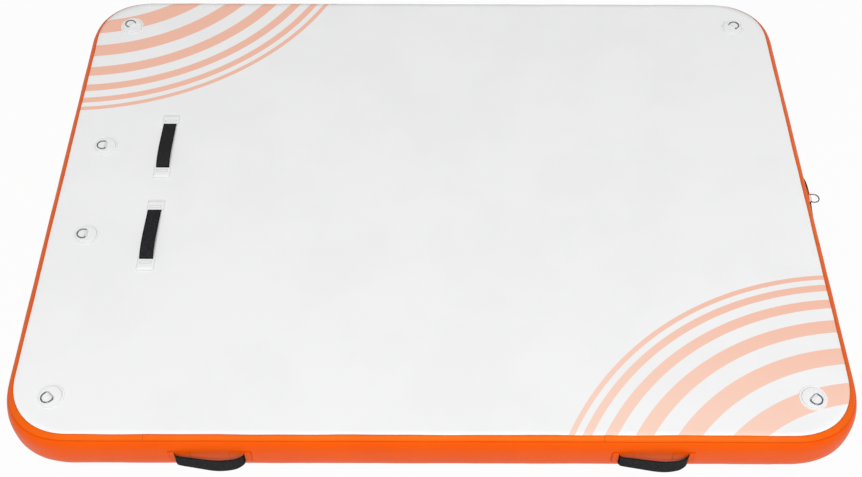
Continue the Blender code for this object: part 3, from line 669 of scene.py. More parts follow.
def side_table():
    """Run, reach, height and outward direction of points down the side."""
    turns = np.linspace(0, math.pi, SECTION_STEPS)
    swing = np.abs(np.sin(turns)) ** (2 / ROUNDNESS)
    lift = np.sign(np.cos(turns)) * np.abs(np.cos(turns)) ** (2 / ROUNDNESS)
    reach = ROLL * swing
    height = THICKNESS / 2 * (1 + lift)
    run = np.concatenate([[0], np.cumsum(np.hypot(np.diff(reach), np.diff(height)))])
    lean = swing ** (ROUNDNESS - 1) / ROLL
    rise = np.sign(lift) * np.abs(lift) ** (ROUNDNESS - 1) / (THICKNESS / 2)
    size = np.hypot(lean, rise)
    return run, reach, height, lean / size, rise / size


SIDE = side_table()
SIDE_RUN = SIDE[0][-1]
MIDDLE_RUN = SIDE_RUN / 2


def side(run):
    """Reach, height and outward direction at a run; below 0 is deck, past the end is bottom."""
    table = [np.interp(run, SIDE[0], column) for column in SIDE[1:]]
    table[0] = table[0] + np.minimum(run, 0) - np.maximum(run - SIDE_RUN, 0)
    return table


def run_at_reach(reach):
    """The run on the upper half where the side has this reach."""
    return float(np.interp(reach, SIDE[1][:SECTION_STEPS // 2], SIDE[0][:SECTION_STEPS // 2]))


TAPE_TOP = run_at_reach(ROLL - WHITE_INSET)
TAPE_END = TAPE_TOP + TAPE_WIDTH
SEAM = (TAPE_TOP + TAPE_END) / 2
print("side is", round(SIDE_RUN, 4), "m round; tape from", round(TAPE_TOP, 4), "m down")

# %% The edge line
STRAIGHT_X = LENGTH - 2 * CORNER_RADIUS
STRAIGHT_Y = WIDTH - 2 * CORNER_RADIUS
EDGE_RADIUS = CORNER_RADIUS - ROLL
QUARTER = EDGE_RADIUS * math.pi / 2
PERIMETER = 2 * (STRAIGHT_X + STRAIGHT_Y) + 4 * QUARTER
WALL_MIDDLES = {"front": 0.0, "right": STRAIGHT_X / 2 + QUARTER + STRAIGHT_Y / 2,
                "rear": PERIMETER / 2, "left": -STRAIGHT_X / 2 - QUARTER - STRAIGHT_Y / 2}
REAR_WRAP = 0.0225


def eased(share):
    """A share from 0 to 1 with a soft start and end."""
    return share * share * (3 - 2 * share)


def wrap(distance):
    """How much lower the deck sheet ends at the rear, where its tape is out of sight."""
    from_rear = np.abs(np.asarray(distance, float) % PERIMETER - PERIMETER / 2)
    return REAR_WRAP * eased(np.clip((STRAIGHT_X / 2 + QUARTER - from_rear) / QUARTER, 0, 1))


def edge(distance):
    """Centre of the corner circle and outward direction at a distance along the edge line."""
    left = (np.asarray(distance, float) + STRAIGHT_X / 2) % PERIMETER
    spot = np.zeros(left.shape + (2,))
    facing = np.zeros(left.shape)
    start = np.array([-STRAIGHT_X / 2, -STRAIGHT_Y / 2])
    for quarter, straight in enumerate((STRAIGHT_X, STRAIGHT_Y) * 2):
        heading = math.pi / 2 * quarter
        way = np.array([math.cos(heading), math.sin(heading)])
        here = left >= 0
        travel = np.clip(left, 0, straight)
        spot[here] = (start + travel[..., None] * way)[here]
        bend = np.clip(left - straight, 0, QUARTER) / EDGE_RADIUS
        facing[here] = (heading - math.pi / 2 + bend)[here]
        start = start + way * straight
        left = left - straight - QUARTER
    return spot, facing


print("edge line", round(PERIMETER, 3), "m long")

# %% [markdown]
# ## Places on the hull
#
# A blown-up hull is never quite smooth: the cloth swells a little between the yarns and
# folds in where the tapes hold it. Sculpting that would fit this mesh only. Here it is a
# sum of slow waves and two creases inside `hull_point`, the function that every sheet,
# tape and patch asks for its points, so whatever lies on the hull follows it.

# %% Waves, creases and points
RIPPLE = 0.00018
RIPPLES = ((1.0, 23, 55, 0.7), (1.0, 41, -31, 2.1), (0.6, 97, 80, 4.0))
CREASE_DEPTH = 0.0022
CREASE_WIDTH = 0.0021
CORNER_FILL = 0.22


def creases(distance, run):
    """From 0 to 1 in the fold beside each tape."""
    below_top = run - TAPE_END - wrap(distance)
    above_bottom = SIDE_RUN - run - TAPE_END
    return sum(np.exp(-((past - CREASE_WIDTH) / CREASE_WIDTH) ** 2) for past in (below_top, above_bottom))


def ripple(distance, run):
    """Tiny unevenness of the blown cloth, and the creases where the tapes hold it in."""
    turn = math.tau / PERIMETER * np.asarray(distance)
    fade = np.clip(np.minimum(run, SIDE_RUN - run) / (ROLL / 2), 0, 1)
    waves = sum(size * np.sin(round_count * turn + down_count * run + phase)
                for size, round_count, down_count, phase in RIPPLES)
    return RIPPLE * waves * fade - CREASE_DEPTH * creases(distance, run)


def hull_point(distance, run, out=0.0):
    """A point of the hull by distance along its edge line, run down its side, and out of it."""
    distance, run, out = np.broadcast_arrays(*(np.asarray(part, float)
                                               for part in (distance, run, out)))
    spot, facing = edge(distance)
    reach, height, lean, rise = side(run)
    out = out + ripple(distance, run)
    far = EDGE_RADIUS + reach * (1 + CORNER_FILL * np.sin(2 * facing) ** 2) + out * lean
    flat = spot + far[..., None] * np.stack([np.cos(facing), np.sin(facing)], axis=-1)
    return np.concatenate([flat, (height + out * rise)[..., None]], axis=-1)


print("front middle at", hull_point(0.0, MIDDLE_RUN).round(4))

# %% [markdown]
# ## The two big sheets
#
# Deck and bottom are one cloth each, cut as a rounded rectangle and pulled over the edge
# of the core. A flat n-gon would do from afar, but it has no points to follow the roll.
# So the rim is a band of rings down the side, and inside it lies a Coons patch: a grid
# whose four sides are the rim itself, blended across. All the faces stay four-sided.

# %% Rim stations and sheet runs
HALF_CORNER_STEPS = 12
STEPS_X = 64
STEPS_Y = 46
SKIN = 0.0009
WALL = 0.0009
TAPE = 0.0008
GAP = 0.0003


def rim_stations():
    """Distances along the edge line, from the middle of the front left corner round."""
    stations = []
    start = -STRAIGHT_X / 2
    for straight, steps in ((STRAIGHT_X, STEPS_X), (STRAIGHT_Y, STEPS_Y)) * 2:
        stations += list(np.linspace(start - QUARTER / 2, start, HALF_CORNER_STEPS, False))
        stations += list(np.linspace(start, start + straight, steps, False))
        start += straight
        stations += list(np.linspace(start, start + QUARTER / 2, HALF_CORNER_STEPS, False))
        start += QUARTER
    return np.array(stations)


RIM = rim_stations()
print(len(RIM), "stations round the rim")

# %% Coons patch and whole sheet
FLAT_RUN = -0.02
SHEET_ROWS = 16
SAME_POINT = GAP / 10


def inside_grid(rim):
    """A grid that fills a rim of stations, by blending its four sides."""
    long_side = STEPS_X + 2 * HALF_CORNER_STEPS
    short_side = STEPS_Y + 2 * HALF_CORNER_STEPS
    closed = np.concatenate([rim, rim[:1]])
    corners = np.cumsum([0, long_side, short_side, long_side, short_side])
    near, right, far, left = (closed[a:b + 1] for a, b in zip(corners, corners[1:]))
    far, left = far[::-1], left[::-1]
    u = np.linspace(0, 1, long_side + 1)[None, :, None]
    v = np.linspace(0, 1, short_side + 1)[:, None, None]
    sides = (1 - v) * near[None] + v * far[None] + (1 - u) * left[:, None] + u * right[:, None]
    corner_share = ((1 - u) * (1 - v) * near[0] + u * (1 - v) * near[-1]
                    + (1 - u) * v * far[0] + u * v * far[-1])
    return sides - corner_share


def big_sheet(name, lowest_run, upside_down=False):
    """The deck's or the bottom's mesh, from a run down the side in to its middle."""
    lowest = lowest_run + wrap(RIM) * (not upside_down)
    runs = FLAT_RUN + np.linspace(1, 0, SHEET_ROWS)[:, None] * (lowest - FLAT_RUN)[None]
    if upside_down:
        runs = SIDE_RUN - runs
    band = hull_point(RIM[None], runs)
    rim_mesh = grid_mesh(name, band, around=True)
    bm = bmesh.new()
    bm.from_mesh(rim_mesh)
    bm.from_mesh(grid_mesh(name, inside_grid(band[-1])))
    bmesh.ops.remove_doubles(bm, verts=bm.verts, dist=SAME_POINT)
    bmesh.ops.recalc_face_normals(bm, faces=bm.faces)
    bm.faces.ensure_lookup_table()
    middle = min(bm.faces, key=lambda face: face.calc_center_median().xy.length)
    if (middle.normal.z < 0) != upside_down:
        bmesh.ops.reverse_faces(bm, faces=bm.faces)
    bm.to_mesh(rim_mesh)
    bm.free()
    return rim_mesh


def thicken(made, thickness):
    """Gives a sheet its thickness, inwards."""
    shell = made.modifiers.new("Thickness", "SOLIDIFY")
    shell.thickness = thickness
    shell.offset = -1
    return made


deck_sheet = thicken(piece("deck_sheet", big_sheet("deck", SEAM), DECK,
                           ["deck_skin"]), SKIN)
bottom_sheet = thicken(piece("bottom_sheet", big_sheet("bottom", SEAM, upside_down=True),
                             UNDERSIDE, ["bottom_skin"]), SKIN)
print("sheets made", deck_sheet.name, bottom_sheet.name)


# %% How the two sheets are cut
def rounded_cut(sheet, extra):
    """Prints the size of a stretched sheet, cut as a rectangle with round corners."""
    corner = EDGE_RADIUS + SEAM
    long_way, short_way = STRAIGHT_X + 2 * corner, STRAIGHT_Y + 2 * corner + extra
    area = long_way * short_way - (4 - math.pi) * corner ** 2
    print(sheet.name, "is cut", round(long_way, 3), "by", round(short_way, 3), "m")


rounded_cut(deck_sheet, REAR_WRAP)
rounded_cut(bottom_sheet, 0)

# %% [markdown]
# ## The side wall and its liner
#
# The wall is one long strip, glued edge to edge with the deck under the tape. Under it
# lies a second strip, the liner, which takes the air pressure while the outer one takes
# the knocks. Both are rings of hull points between two runs.

# %% Wall and liner
LINER = 0.0007
CREASE_ROWS = np.linspace(-1, 5, 9) * CREASE_WIDTH
WALL_ROWS = 18


def strip(name, edge_run, out):
    """A strip round the hull, with close rows at the creases, from its lower edge up."""
    rows = np.concatenate([[edge_run], TAPE_END + CREASE_ROWS])
    middle = np.linspace(0, 1, WALL_ROWS)[1:-1, None]
    top = rows[:, None] + wrap(RIM)[None]
    low = SIDE_RUN - np.broadcast_to(rows[:, None], top.shape)
    between = low[-1] + middle * (top[-1] - low[-1])[None]
    runs = np.concatenate([low, between, top[::-1]])
    # The crease mark places painted shade in the folds beside the tapes.
    return mark_edges(grid_mesh(name, hull_point(RIM[None], runs, out), around=True),
                      creases(RIM[None], runs))


wall_sheet = thicken(piece("wall_sheet", strip("wall", SEAM + GAP, 0.0), ORANGE,
                           ["side_wall"]), WALL)
liner_sheet = thicken(piece("liner_sheet", strip("liner", TAPE_TOP, -WALL - GAP), ORANGE,
                            ["side_wall_liner"]), LINER)
ROUND = 2 * (STRAIGHT_X + STRAIGHT_Y) + math.tau * CORNER_RADIUS
for sheet, edge_run in ((wall_sheet, SEAM + GAP), (liner_sheet, TAPE_TOP)):
    wide = SIDE_RUN - 2 * edge_run
    wide * ROUND - REAR_WRAP * (STRAIGHT_X + QUARTER)
    print(sheet.name, "is a strip", round(wide, 4), "by", round(ROUND, 3), "m")

# %% [markdown]
# ## The rail tapes
#
# A tape hides the seam between deck and wall. It comes in rolls, so it ends where a new
# length begins, and there one end lies over the other: a sharp step on one side and a
# soft one on the other. The photograph shows such joints as fine lines. A hand-laid tape
# also wanders a little, so its edges get a slow wave of under a millimetre.

# %% Lap joints of the tapes
LAP = 0.026
LAP_STEP = 0.0009
LAP_SLOPE = 0.007
LAP_STATIONS = (-LAP_STEP, 0, LAP_STEP / 2, LAP_STEP, 2 * LAP_STEP, LAP - LAP_SLOPE,
                LAP - LAP_SLOPE / 2, LAP)
TOP_JOINTS = (0.478, -0.80, WALL_MIDDLES["left"] + 0.32, WALL_MIDDLES["right"] - 0.21,
              WALL_MIDDLES["rear"] + 0.35)
BOTTOM_JOINTS = (-0.36, 0.95, WALL_MIDDLES["left"] - 0.25, WALL_MIDDLES["right"] + 0.40,
                 WALL_MIDDLES["rear"] - 0.52)


def past_joints(stations, joints):
    """How far each station lies past each joint, a row per joint."""
    past = stations[None] - np.array(joints)[:, None]
    return (past + PERIMETER / 2) % PERIMETER - PERIMETER / 2


def lap_lift(past):
    """Extra height where one end of the tape lies over the other."""
    rise = np.clip(past / LAP_STEP, 0, 1)
    fall = np.clip((LAP - past) / LAP_SLOPE, 0, 1)
    return TAPE * (rise * eased(fall)).max(axis=0)


print(len(TOP_JOINTS), "joints in the top tape,", len(BOTTOM_JOINTS), "in the bottom one")

# %% Tape meshes
TAPE_ROWS = 11
WANDER = 0.0005
WANDER_WAVES = ((1.0, 17, 1.0), (0.6, 43, 0.3))
STATION_PLACES = 6
STEP_REACH = 0.6 * LAP_STEP
TAPE_BEVEL = TAPE / 3
BEVEL_SEGMENTS = 2
BEVEL_ANGLE = 50


def tape_mesh(name, joints, upside_down):
    """A rail tape, with extra stations at its joints."""
    extra = [joint + step for joint in joints for step in LAP_STATIONS]
    places = (np.concatenate([RIM, extra]) + STRAIGHT_X) % PERIMETER
    stations = np.unique(np.round(places, STATION_PLACES)) - STRAIGHT_X
    turn = math.tau / PERIMETER * stations
    shift = WANDER * sum(size * np.sin(count * turn + phase) for size, count, phase in WANDER_WAVES)
    runs = np.linspace(TAPE_END, TAPE_TOP, TAPE_ROWS)[:, None] + shift[None]
    runs = (SIDE_RUN - runs)[::-1] if upside_down else runs + wrap(stations)[None]
    past = past_joints(stations, joints)
    # The marks place painted shade, with some grime, along both tape edges and at the lap steps.
    marks = np.zeros(runs.shape)
    marks[[0, -1]] = 1
    marks[:, (np.abs(past - LAP_STEP / 2) < STEP_REACH).any(axis=0)] = 1
    rings = hull_point(stations[None], runs, GAP + TAPE + lap_lift(past)[None])
    return mark_edges(grid_mesh(name, rings, around=True), marks)


def soften(made):
    """Rounds the sharp edges of a tape."""
    bevel = made.modifiers.new("Soft edges", "BEVEL")
    bevel.width = TAPE_BEVEL
    bevel.segments = BEVEL_SEGMENTS
    bevel.limit_method = "ANGLE"
    bevel.angle_limit = math.radians(BEVEL_ANGLE)


for label, joints, flipped in (("top", TOP_JOINTS, False), ("bottom", BOTTOM_JOINTS, True)):
    tape = piece(f"{label}_tape_strip", tape_mesh(label, joints, flipped), TAPE_FINISH,
                 [f"{label}_rail_tape"])
    soften(thicken(tape, TAPE))
    print(label, "tape", round(TAPE_WIDTH * 1000, 1), "mm wide")

# %% [markdown]
# ## The drop-stitch core
#
# Inside, yarns tie the two cloths at every few millimetres; that is tens of thousands of
# threads, far too many to draw. Each bundle here stands for a patch of them, as a thin
# eight-sided post that pinches in at its middle the way slack fibres do.

# %% Core of two cloths and yarn bundles
BUNDLE_COLUMNS = 24
BUNDLE_ROWS = 18
BUNDLE_RADIUS = 0.002
BUNDLE_SIDES = 8
BUNDLE_LEVELS = 7
BUNDLE_PINCH = 0.45
CORE_MARGIN = 0.10
CORE_INSET = 0.003
CLOTH = 0.0004


def yarn_bundles(low, high):
    """Posts of yarn between the cloths, as one mesh."""
    heights = np.linspace(low, high, BUNDLE_LEVELS)
    pinch = 1 - BUNDLE_PINCH * np.sin(np.linspace(0, math.pi, BUNDLE_LEVELS))
    turns = np.linspace(0, math.tau, BUNDLE_SIDES, endpoint=False)
    ring = np.stack([np.cos(turns), np.sin(turns), np.zeros(BUNDLE_SIDES)], axis=1)
    post = ring[None] * (pinch * BUNDLE_RADIUS)[:, None, None]
    post = post + heights[:, None, None] * np.array([0, 0, 1])
    posts = []
    for x in np.linspace(-1, 1, BUNDLE_COLUMNS) * (LENGTH / 2 - CORE_MARGIN):
        for y in np.linspace(-1, 1, BUNDLE_ROWS) * (WIDTH / 2 - CORE_MARGIN):
            posts.append(grid_mesh("post", post + np.array([x, y, 0]), around=True, capped=True))
    return joined(*posts)


def core_cloth(height):
    """One woven cloth of the core, as a thin closed plate."""
    levels = (height - CLOTH / 2, height + CLOTH / 2)
    rims = [hull_point(RIM, -CORE_INSET) * [1, 1, 0] + [0, 0, level] for level in levels]
    return joined(grid_mesh("cloth", rims, around=True),
                  *(grid_mesh("cloth", inside_grid(rim)) for rim in rims))


CORE_LOW = SKIN + GAP + CLOTH / 2
CORE_HIGH = THICKNESS - CORE_LOW
core = outward(joined(core_cloth(CORE_LOW), core_cloth(CORE_HIGH), yarn_bundles(CORE_LOW, CORE_HIGH)))
piece("yarn_core", core, YARN, ["drop_stitch_core"])
print("core with", BUNDLE_COLUMNS * BUNDLE_ROWS, "yarn bundles")

# %% [markdown]
# ## D-ring pads
#
# Each ring is held by a moulded PVC disc, welded to the deck: a thin flange 80 mm across
# and a raised middle 65 mm across, with a window where the webbing comes up and goes back
# into a pocket. A turned profile gives the disc its soft lips, and a boolean cuts the
# window and the pocket. The pad on the side wall is the same mesh bent to the wall.

# %% Turned shapes and booleans
PAD_STEPS = 96
AXIS_POINT = GAP / 100
BOX_SEGMENTS = 4
ROUND_BEVEL = 0.5


def turned(name, profile):
    """A closed shape spun from a profile of radius and height, given from its top centre out."""
    turns = np.linspace(0, math.tau, PAD_STEPS, endpoint=False)
    rings = [[(radius * math.cos(turn), radius * math.sin(turn), height) for turn in turns]
             for radius, height in profile]
    mesh = grid_mesh(name, rings, around=True)
    bm = bmesh.new()
    bm.from_mesh(mesh)
    bmesh.ops.remove_doubles(bm, verts=bm.verts, dist=AXIS_POINT)
    bmesh.ops.holes_fill(bm, edges=bm.edges, sides=0)
    bmesh.ops.recalc_face_normals(bm, faces=bm.faces)
    bm.to_mesh(mesh)
    bm.free()
    return mesh


def rounded_box(low, high, radius):
    """A box whose upright edges are rounded if a radius is given, as a mesh."""
    bm = bmesh.new()
    bmesh.ops.create_cube(bm, size=1.0)
    size = Vector(high) - Vector(low)
    bmesh.ops.scale(bm, vec=size, verts=bm.verts)
    bmesh.ops.translate(bm, vec=Vector(low) + size / 2, verts=bm.verts)
    upright = [e for e in bm.edges if abs(e.verts[0].co.z - e.verts[1].co.z) > size.z / 2]
    if radius:
        bmesh.ops.bevel(bm, geom=upright, offset=radius, segments=BOX_SEGMENTS,
                        profile=ROUND_BEVEL, affect="EDGES")
    mesh = bpy.data.meshes.new("box")
    bm.to_mesh(mesh)
    bm.free()
    return mesh


def cut(mesh, *tools):
    """A mesh with others cut from it."""
    scene = bpy.context.scene.collection
    work = bpy.data.objects.new("work", mesh)
    scene.objects.link(work)
    others = []
    for tool in tools:
        other = bpy.data.objects.new("tool", tool)
        scene.objects.link(other)
        change = work.modifiers.new("Cut", "BOOLEAN")
        change.operation = "DIFFERENCE"
        change.object = other
        others.append(other)
    seen = work.evaluated_get(bpy.context.evaluated_depsgraph_get())
    result = bpy.data.meshes.new_from_object(seen)
    for made in [work] + others:
        bpy.data.objects.remove(made)
    return result


print("shapes are turned in", PAD_STEPS, "steps")

# %% [markdown]
# ## The pad's own profile
#
# Read from the centre out, the pad is a flat disc with a shallow groove, a round lip
# down to the flange, a weld line and a thin outer edge. Real corners are never sharp, so
# the lip is a quarter circle of a millimetre and the edges get small chamfers, which
# catch the light as they do on the real one.

# %% Sizes of the pad
PAD_RADIUS = 0.040
PAD_RISE = 0.0325
PAD_BASE = 0.0010
PAD_COVER = 0.0008
PAD_LIP = 0.0004
LOOP_WIDTH = 0.025
LOOP_WEBBING = 0.0008
LOOP_TAIL = 0.022
WINDOW_REACH = 0.006
WINDOW_CORNER = 0.0015
WELD_RADIUS = 0.0363
WELD_DEPTH = 0.00025
OVERRUN = 0.002
PAD_FLOOR = GAP + PAD_BASE
POCKET = LOOP_WEBBING + 2 * GAP
PAD_TOP = PAD_FLOOR + POCKET + PAD_COVER
PAD_TOP_RADII = (0, 0.006, 0.012, 0.017, 0.022, 0.026)
PAD_UNDER_RADII = (0.034, 0.026, 0.020, 0.014, 0.007, 0)
GROOVE = ((0.0285, PAD_LIP / 4), (0.0295, PAD_LIP), (0.0302, PAD_LIP))
LIP_ROUND = 2.5 * PAD_LIP
LIP_STEPS = 4
LIP_FOOT = ((0.25, 1.5), (1, 1 / 3), (3, 0))
WELD = ((-2, 0), (0, 1), (2, 0))
OUTER_EDGE = ((2, 0), (0.5, 1 / 3), (0, 1))
LIP_REACH = 2.1 * PAD_LIP


def pad_profile():
    """Radius and height of the pad's skin, from its top centre out and back underneath."""
    spots = [(radius, PAD_TOP) for radius in PAD_TOP_RADII]
    spots += [(radius, PAD_TOP - depth) for radius, depth in GROOVE]
    for turn in np.linspace(0, math.pi / 2, LIP_STEPS + 1):
        spots.append((PAD_RISE - LIP_ROUND * (1 - math.sin(turn)),
                      PAD_TOP - LIP_ROUND * (1 - math.cos(turn))))
    spots += [(PAD_RISE + PAD_LIP * out, PAD_FLOOR + PAD_LIP * up) for out, up in LIP_FOOT]
    spots += [(WELD_RADIUS + WELD_DEPTH * out, PAD_FLOOR - WELD_DEPTH * down) for out, down in WELD]
    spots += [(PAD_RADIUS - PAD_LIP * inset, PAD_FLOOR - PAD_LIP * down)
              for inset, down in OUTER_EDGE]
    return spots + [(radius, GAP) for radius in (PAD_RADIUS,) + PAD_UNDER_RADII]


print("pad profile of", len(pad_profile()), "points,", round(PAD_TOP * 1000, 2), "mm high")


# %% Pad mesh
def pad_mesh():
    """The round pad, X to the ring's crown, Z out of the deck."""
    half = LOOP_WIDTH / 2 + GAP
    window = rounded_box((-WINDOW_REACH, -half, PAD_FLOOR), (WINDOW_REACH, half, PAD_TOP + OVERRUN),
                         WINDOW_CORNER)
    pocket = rounded_box((-LOOP_TAIL - GAP, -half, PAD_FLOOR + SAME_POINT),
                         (0, half, PAD_FLOOR + POCKET), 0)
    mesh = cut(turned("pad", pad_profile()), window, pocket)
    spots = np.array([point.co for point in mesh.vertices])
    away = np.hypot(spots[:, 0], spots[:, 1])
    # The marks place painted shade, with some grime, on the lip and the outer edge.
    lip = np.abs(away - PAD_RISE - PAD_LIP) < LIP_REACH
    return mark_edges(mesh, lip | (away > PAD_RADIUS - PAD_LIP))


PAD = pad_mesh()
print("pad with", len(PAD.polygons), "faces")

# %% [markdown]
# ## Webbing loops and steel rings
#
# The loop is one piece of webbing that passes round the straight bar of the ring and
# goes back on itself. Its path is drawn in the plane across the bar: along the pocket,
# up, round the bar and back. The ring is a wire bent to a D, with one weld on the bar
# where the loop hides it.

# %% Paths and bands
BAND_COLUMNS = 10
BAND_SIDE = 5


def cut_corners(points, rounds):
    """A path with its corners rounded off, its ends kept."""
    points = np.asarray(points, float)
    for _ in range(rounds):
        near = points[:-1] * 0.75 + points[1:] * 0.25
        far = points[:-1] * 0.25 + points[1:] * 0.75
        middle = np.stack([near, far], axis=1).reshape(-1, points.shape[1])
        points = np.concatenate([points[:1], middle, points[-1:]])
    return points


def even_steps(points, count):
    """The same path, or loop, at even steps."""
    length = np.concatenate([[0], np.cumsum(np.linalg.norm(np.diff(points, axis=0), axis=1))])
    spots = np.linspace(0, length[-1], count)
    return np.stack([np.interp(spots, length, column) for column in points.T], axis=1), spots


def band_section(width, thickness, columns=BAND_COLUMNS):
    """Across and up offsets of the points round a flat band with rounded selvedges."""
    half, up = width / 2, thickness / 2
    flat = np.linspace(-(half - up), half - up, columns)
    turns = np.linspace(math.pi / 2, -math.pi / 2, BAND_SIDE)[1:-1]
    right = [(half - up + up * math.cos(turn), up * math.sin(turn)) for turn in turns]
    left = [(-x, -y) for x, y in right]
    return np.array([(x, up) for x in flat] + right + [(x, -up) for x in flat[::-1]] + left)


print("a band has", BAND_COLUMNS, "points across each face")

# %% Webbing loop
LAYER = 0.00065
LOOP_LIFT = GAP / 6
LOOP_AROUND = 18
LOOP_STEPS = 90
RING_WIRE = 0.004


def loop_path(bar_x, bar_height, mouth, tail):
    """The webbing's middle line in the plane across the bar, x along and y up."""
    low = PAD_FLOOR + LOOP_LIFT + LAYER / 2
    high = low + LAYER
    radius = RING_WIRE / 2 + GAP + LAYER / 2
    lower, upper = mouth(low, high)
    turns = []
    for spot, hand in ((lower[-1], 1), (upper[0], -1)):
        away = np.array(spot) - (bar_x, bar_height)
        turns.append(math.atan2(away[1], away[0]) + hand * math.acos(radius / np.hypot(*away)))
    sweep = (turns[1] - turns[0]) % math.tau
    around = [(bar_x + radius * math.cos(turn), bar_height + radius * math.sin(turn))
              for turn in turns[0] + np.linspace(0, sweep, LOOP_AROUND + 1)]
    return np.array([(-tail, low)] + lower + around + upper + [(-tail, high)])


def loop_mesh(path):
    """The webbing loop as a thick band along its path, across Y."""
    line, along = even_steps(cut_corners(path, 1), LOOP_STEPS)
    tangent = np.gradient(line, axis=0)
    tangent /= np.linalg.norm(tangent, axis=1)[:, None]
    normal = np.stack([-tangent[:, 1], tangent[:, 0]], axis=1)
    section = band_section(LOOP_WIDTH, LAYER)
    flat = line[:, None] + normal[:, None] * section[None, :, 1:2]
    across_all = np.broadcast_to(section[:, 0], flat.shape[:2])
    rings = np.stack([flat[..., 0], across_all, flat[..., 1]], axis=-1)
    across = np.concatenate([section[:, 0], section[:1, 0]])
    return outward(grid_mesh("loop", rings, around=True, capped=True, along=along, across=across))


print("loop webbing", round(LOOP_WIDTH * 1000), "mm wide in two layers of", LAYER * 1000, "mm")

# %% Steel ring
RING_WIDTH = 0.037
RING_REACH = 0.029
RING_CORNER = 0.004
CORNER_STEPS = 6
CROWN_STEPS = 24
WIRE_STEPS = 96
WIRE_SIDES = 16
BEAD = 0.00015
BEAD_SPREAD = 0.0012


def ring_line():
    """The D-ring's middle line: bar, corners and crown."""
    half = (RING_WIDTH - RING_WIRE) / 2
    crown_x = RING_REACH - RING_WIRE / 2 - half
    corner = [(RING_CORNER * (1 - math.sin(turn)), half - RING_CORNER * (1 - math.cos(turn)))
              for turn in np.linspace(math.pi / 2, 0, CORNER_STEPS + 1)]
    crown = [(crown_x + half * math.cos(turn), half * math.sin(turn))
             for turn in np.linspace(math.pi / 2, -math.pi / 2, CROWN_STEPS + 1)]
    return np.array(corner + crown + [(x, -y) for x, y in corner[::-1]] + corner[:1])


def ring_mesh():
    """The steel wire, with a low weld bead on its bar."""
    line = even_steps(ring_line(), WIRE_STEPS + 1)[0][:-1]
    tangent = np.roll(line, -1, axis=0) - np.roll(line, 1, axis=0)
    tangent /= np.linalg.norm(tangent, axis=1)[:, None]
    side_way = np.stack([tangent[:, 1], -tangent[:, 0]], axis=1)
    middle_of_bar = (line[:, 0] < RING_WIRE / 4) * np.exp(-(line[:, 1] / BEAD_SPREAD) ** 2)
    radius = RING_WIRE / 2 + BEAD * middle_of_bar
    turns = np.linspace(0, math.tau, WIRE_SIDES, endpoint=False)
    flat = line[:, None] + side_way[:, None] * (radius[:, None] * np.cos(turns))[..., None]
    high = radius[:, None] * np.sin(turns)
    rings = np.concatenate([flat, high[..., None]], axis=-1)
    return outward(grid_mesh("ring", rings, around=True, again=True))


wire_length = float(even_steps(ring_line(), WIRE_STEPS + 1)[1][-1])
print("ring wire path", round(wire_length * 1000, 1), "mm")

# %% [markdown]
# ## Setting the rings
#
# The packed model knows where each ring turns: a joint has a place, the bar, and an axis.
# The crown of the ring then points square to both the axis and the upright. Reading this
# from the joints, and not typing it in again, keeps bar and hinge on the same line. Pads
# and loops belong to the hull, and only the wire rides on the ring's own body.

# %% Moving and bending meshes
SMALL_RISE = 0.001


def moved(mesh, matrix):
    """A copy of a mesh, moved by a matrix."""
    copy = mesh.copy()
    copy.transform(matrix)
    return copy


def mapped(mesh, place):
    """A copy of a mesh with every point sent through a function of x, y and z."""
    copy = mesh.copy()
    spots = np.zeros(len(copy.vertices) * 3)
    copy.vertices.foreach_get("co", spots)
    copy.vertices.foreach_set("co", place(*spots.reshape(-1, 3).T).ravel())
    copy.update()
    return copy


def flat_frame(origin, along, out):
    """Matrix of a place whose X runs along and whose Z points out."""
    across = out.cross(along)
    return Matrix.Translation(origin) @ Matrix((along, across, out)).transposed().to_4x4()


def tangent_frame(distance, run):
    """Matrix of a place on the side wall, X up the wall and Z out of it."""
    foot, up, out = (Vector(hull_point(distance, run - rise, lift))
                     for rise, lift in ((0, 0), (SMALL_RISE, 0), (0, 1.0)))
    out = (out - foot).normalized()
    up = (up - foot).normalized()
    return flat_frame(foot, (up - out * up.dot(out)).normalized(), out)


print("a place half way down the front wall", tangent_frame(0.0, MIDDLE_RUN).translation[:])

# %% Places of the rings
RING_PLACES = {}
for joint in frame["joints"]:
    if joint["name"].startswith("d_ring"):
        crown = Vector((0, 0, 1)).cross(Vector(joint["axis"])).normalized()
        RING_PLACES[joint["child"]] = (Vector(joint["pos_m"]), crown)
print(len(RING_PLACES), "rings, their crowns pointing",
      {name: [round(part, 2) for part in crown] for name, (_, crown) in RING_PLACES.items()})

# %% Seven D-rings
WALL_RING_UP = 0.015
WALL_LOOP_TAIL = 0.014
MOUTH_STEP = LAYER / 2 + GAP / 10


def ring_set(name, pad, loop, wire, pad_finish):
    """The pad, loop and wire of one D-ring as pieces."""
    piece(f"{name}_pad", pad, pad_finish, [f"{name}_patch"])
    piece(f"{name}_loop", loop, WHITE_WEBBING, [f"{name}_webbing"])
    piece(f"{name}_wire", wire, STEEL, [f"{name}_ring"], body=name)


def deck_mouth(low, high):
    """Where the two layers leave the window of a ring that lies flat: at its pocket side."""
    return [(-WINDOW_REACH, low)], [(-WINDOW_REACH, high)]


def wall_mouth(low, high):
    """Where they leave the window of a ring that stands off the wall: straight out."""
    return [(MOUTH_STEP, low), (MOUTH_STEP, PAD_TOP)], [(-MOUTH_STEP, PAD_TOP), (-MOUTH_STEP, high)]


def deck_ring(name, bar, crown):
    """A ring set on the deck."""
    up = Vector((0, 0, 1))
    base = flat_frame(Vector((bar.x, bar.y, THICKNESS)), crown, up)
    loop = loop_mesh(loop_path(0, bar.z - THICKNESS, deck_mouth, LOOP_TAIL))
    wire = moved(ring_mesh(), flat_frame(bar, crown, up))
    ring_set(name, moved(PAD, base), moved(loop, base), wire, WHITE_PATCH)


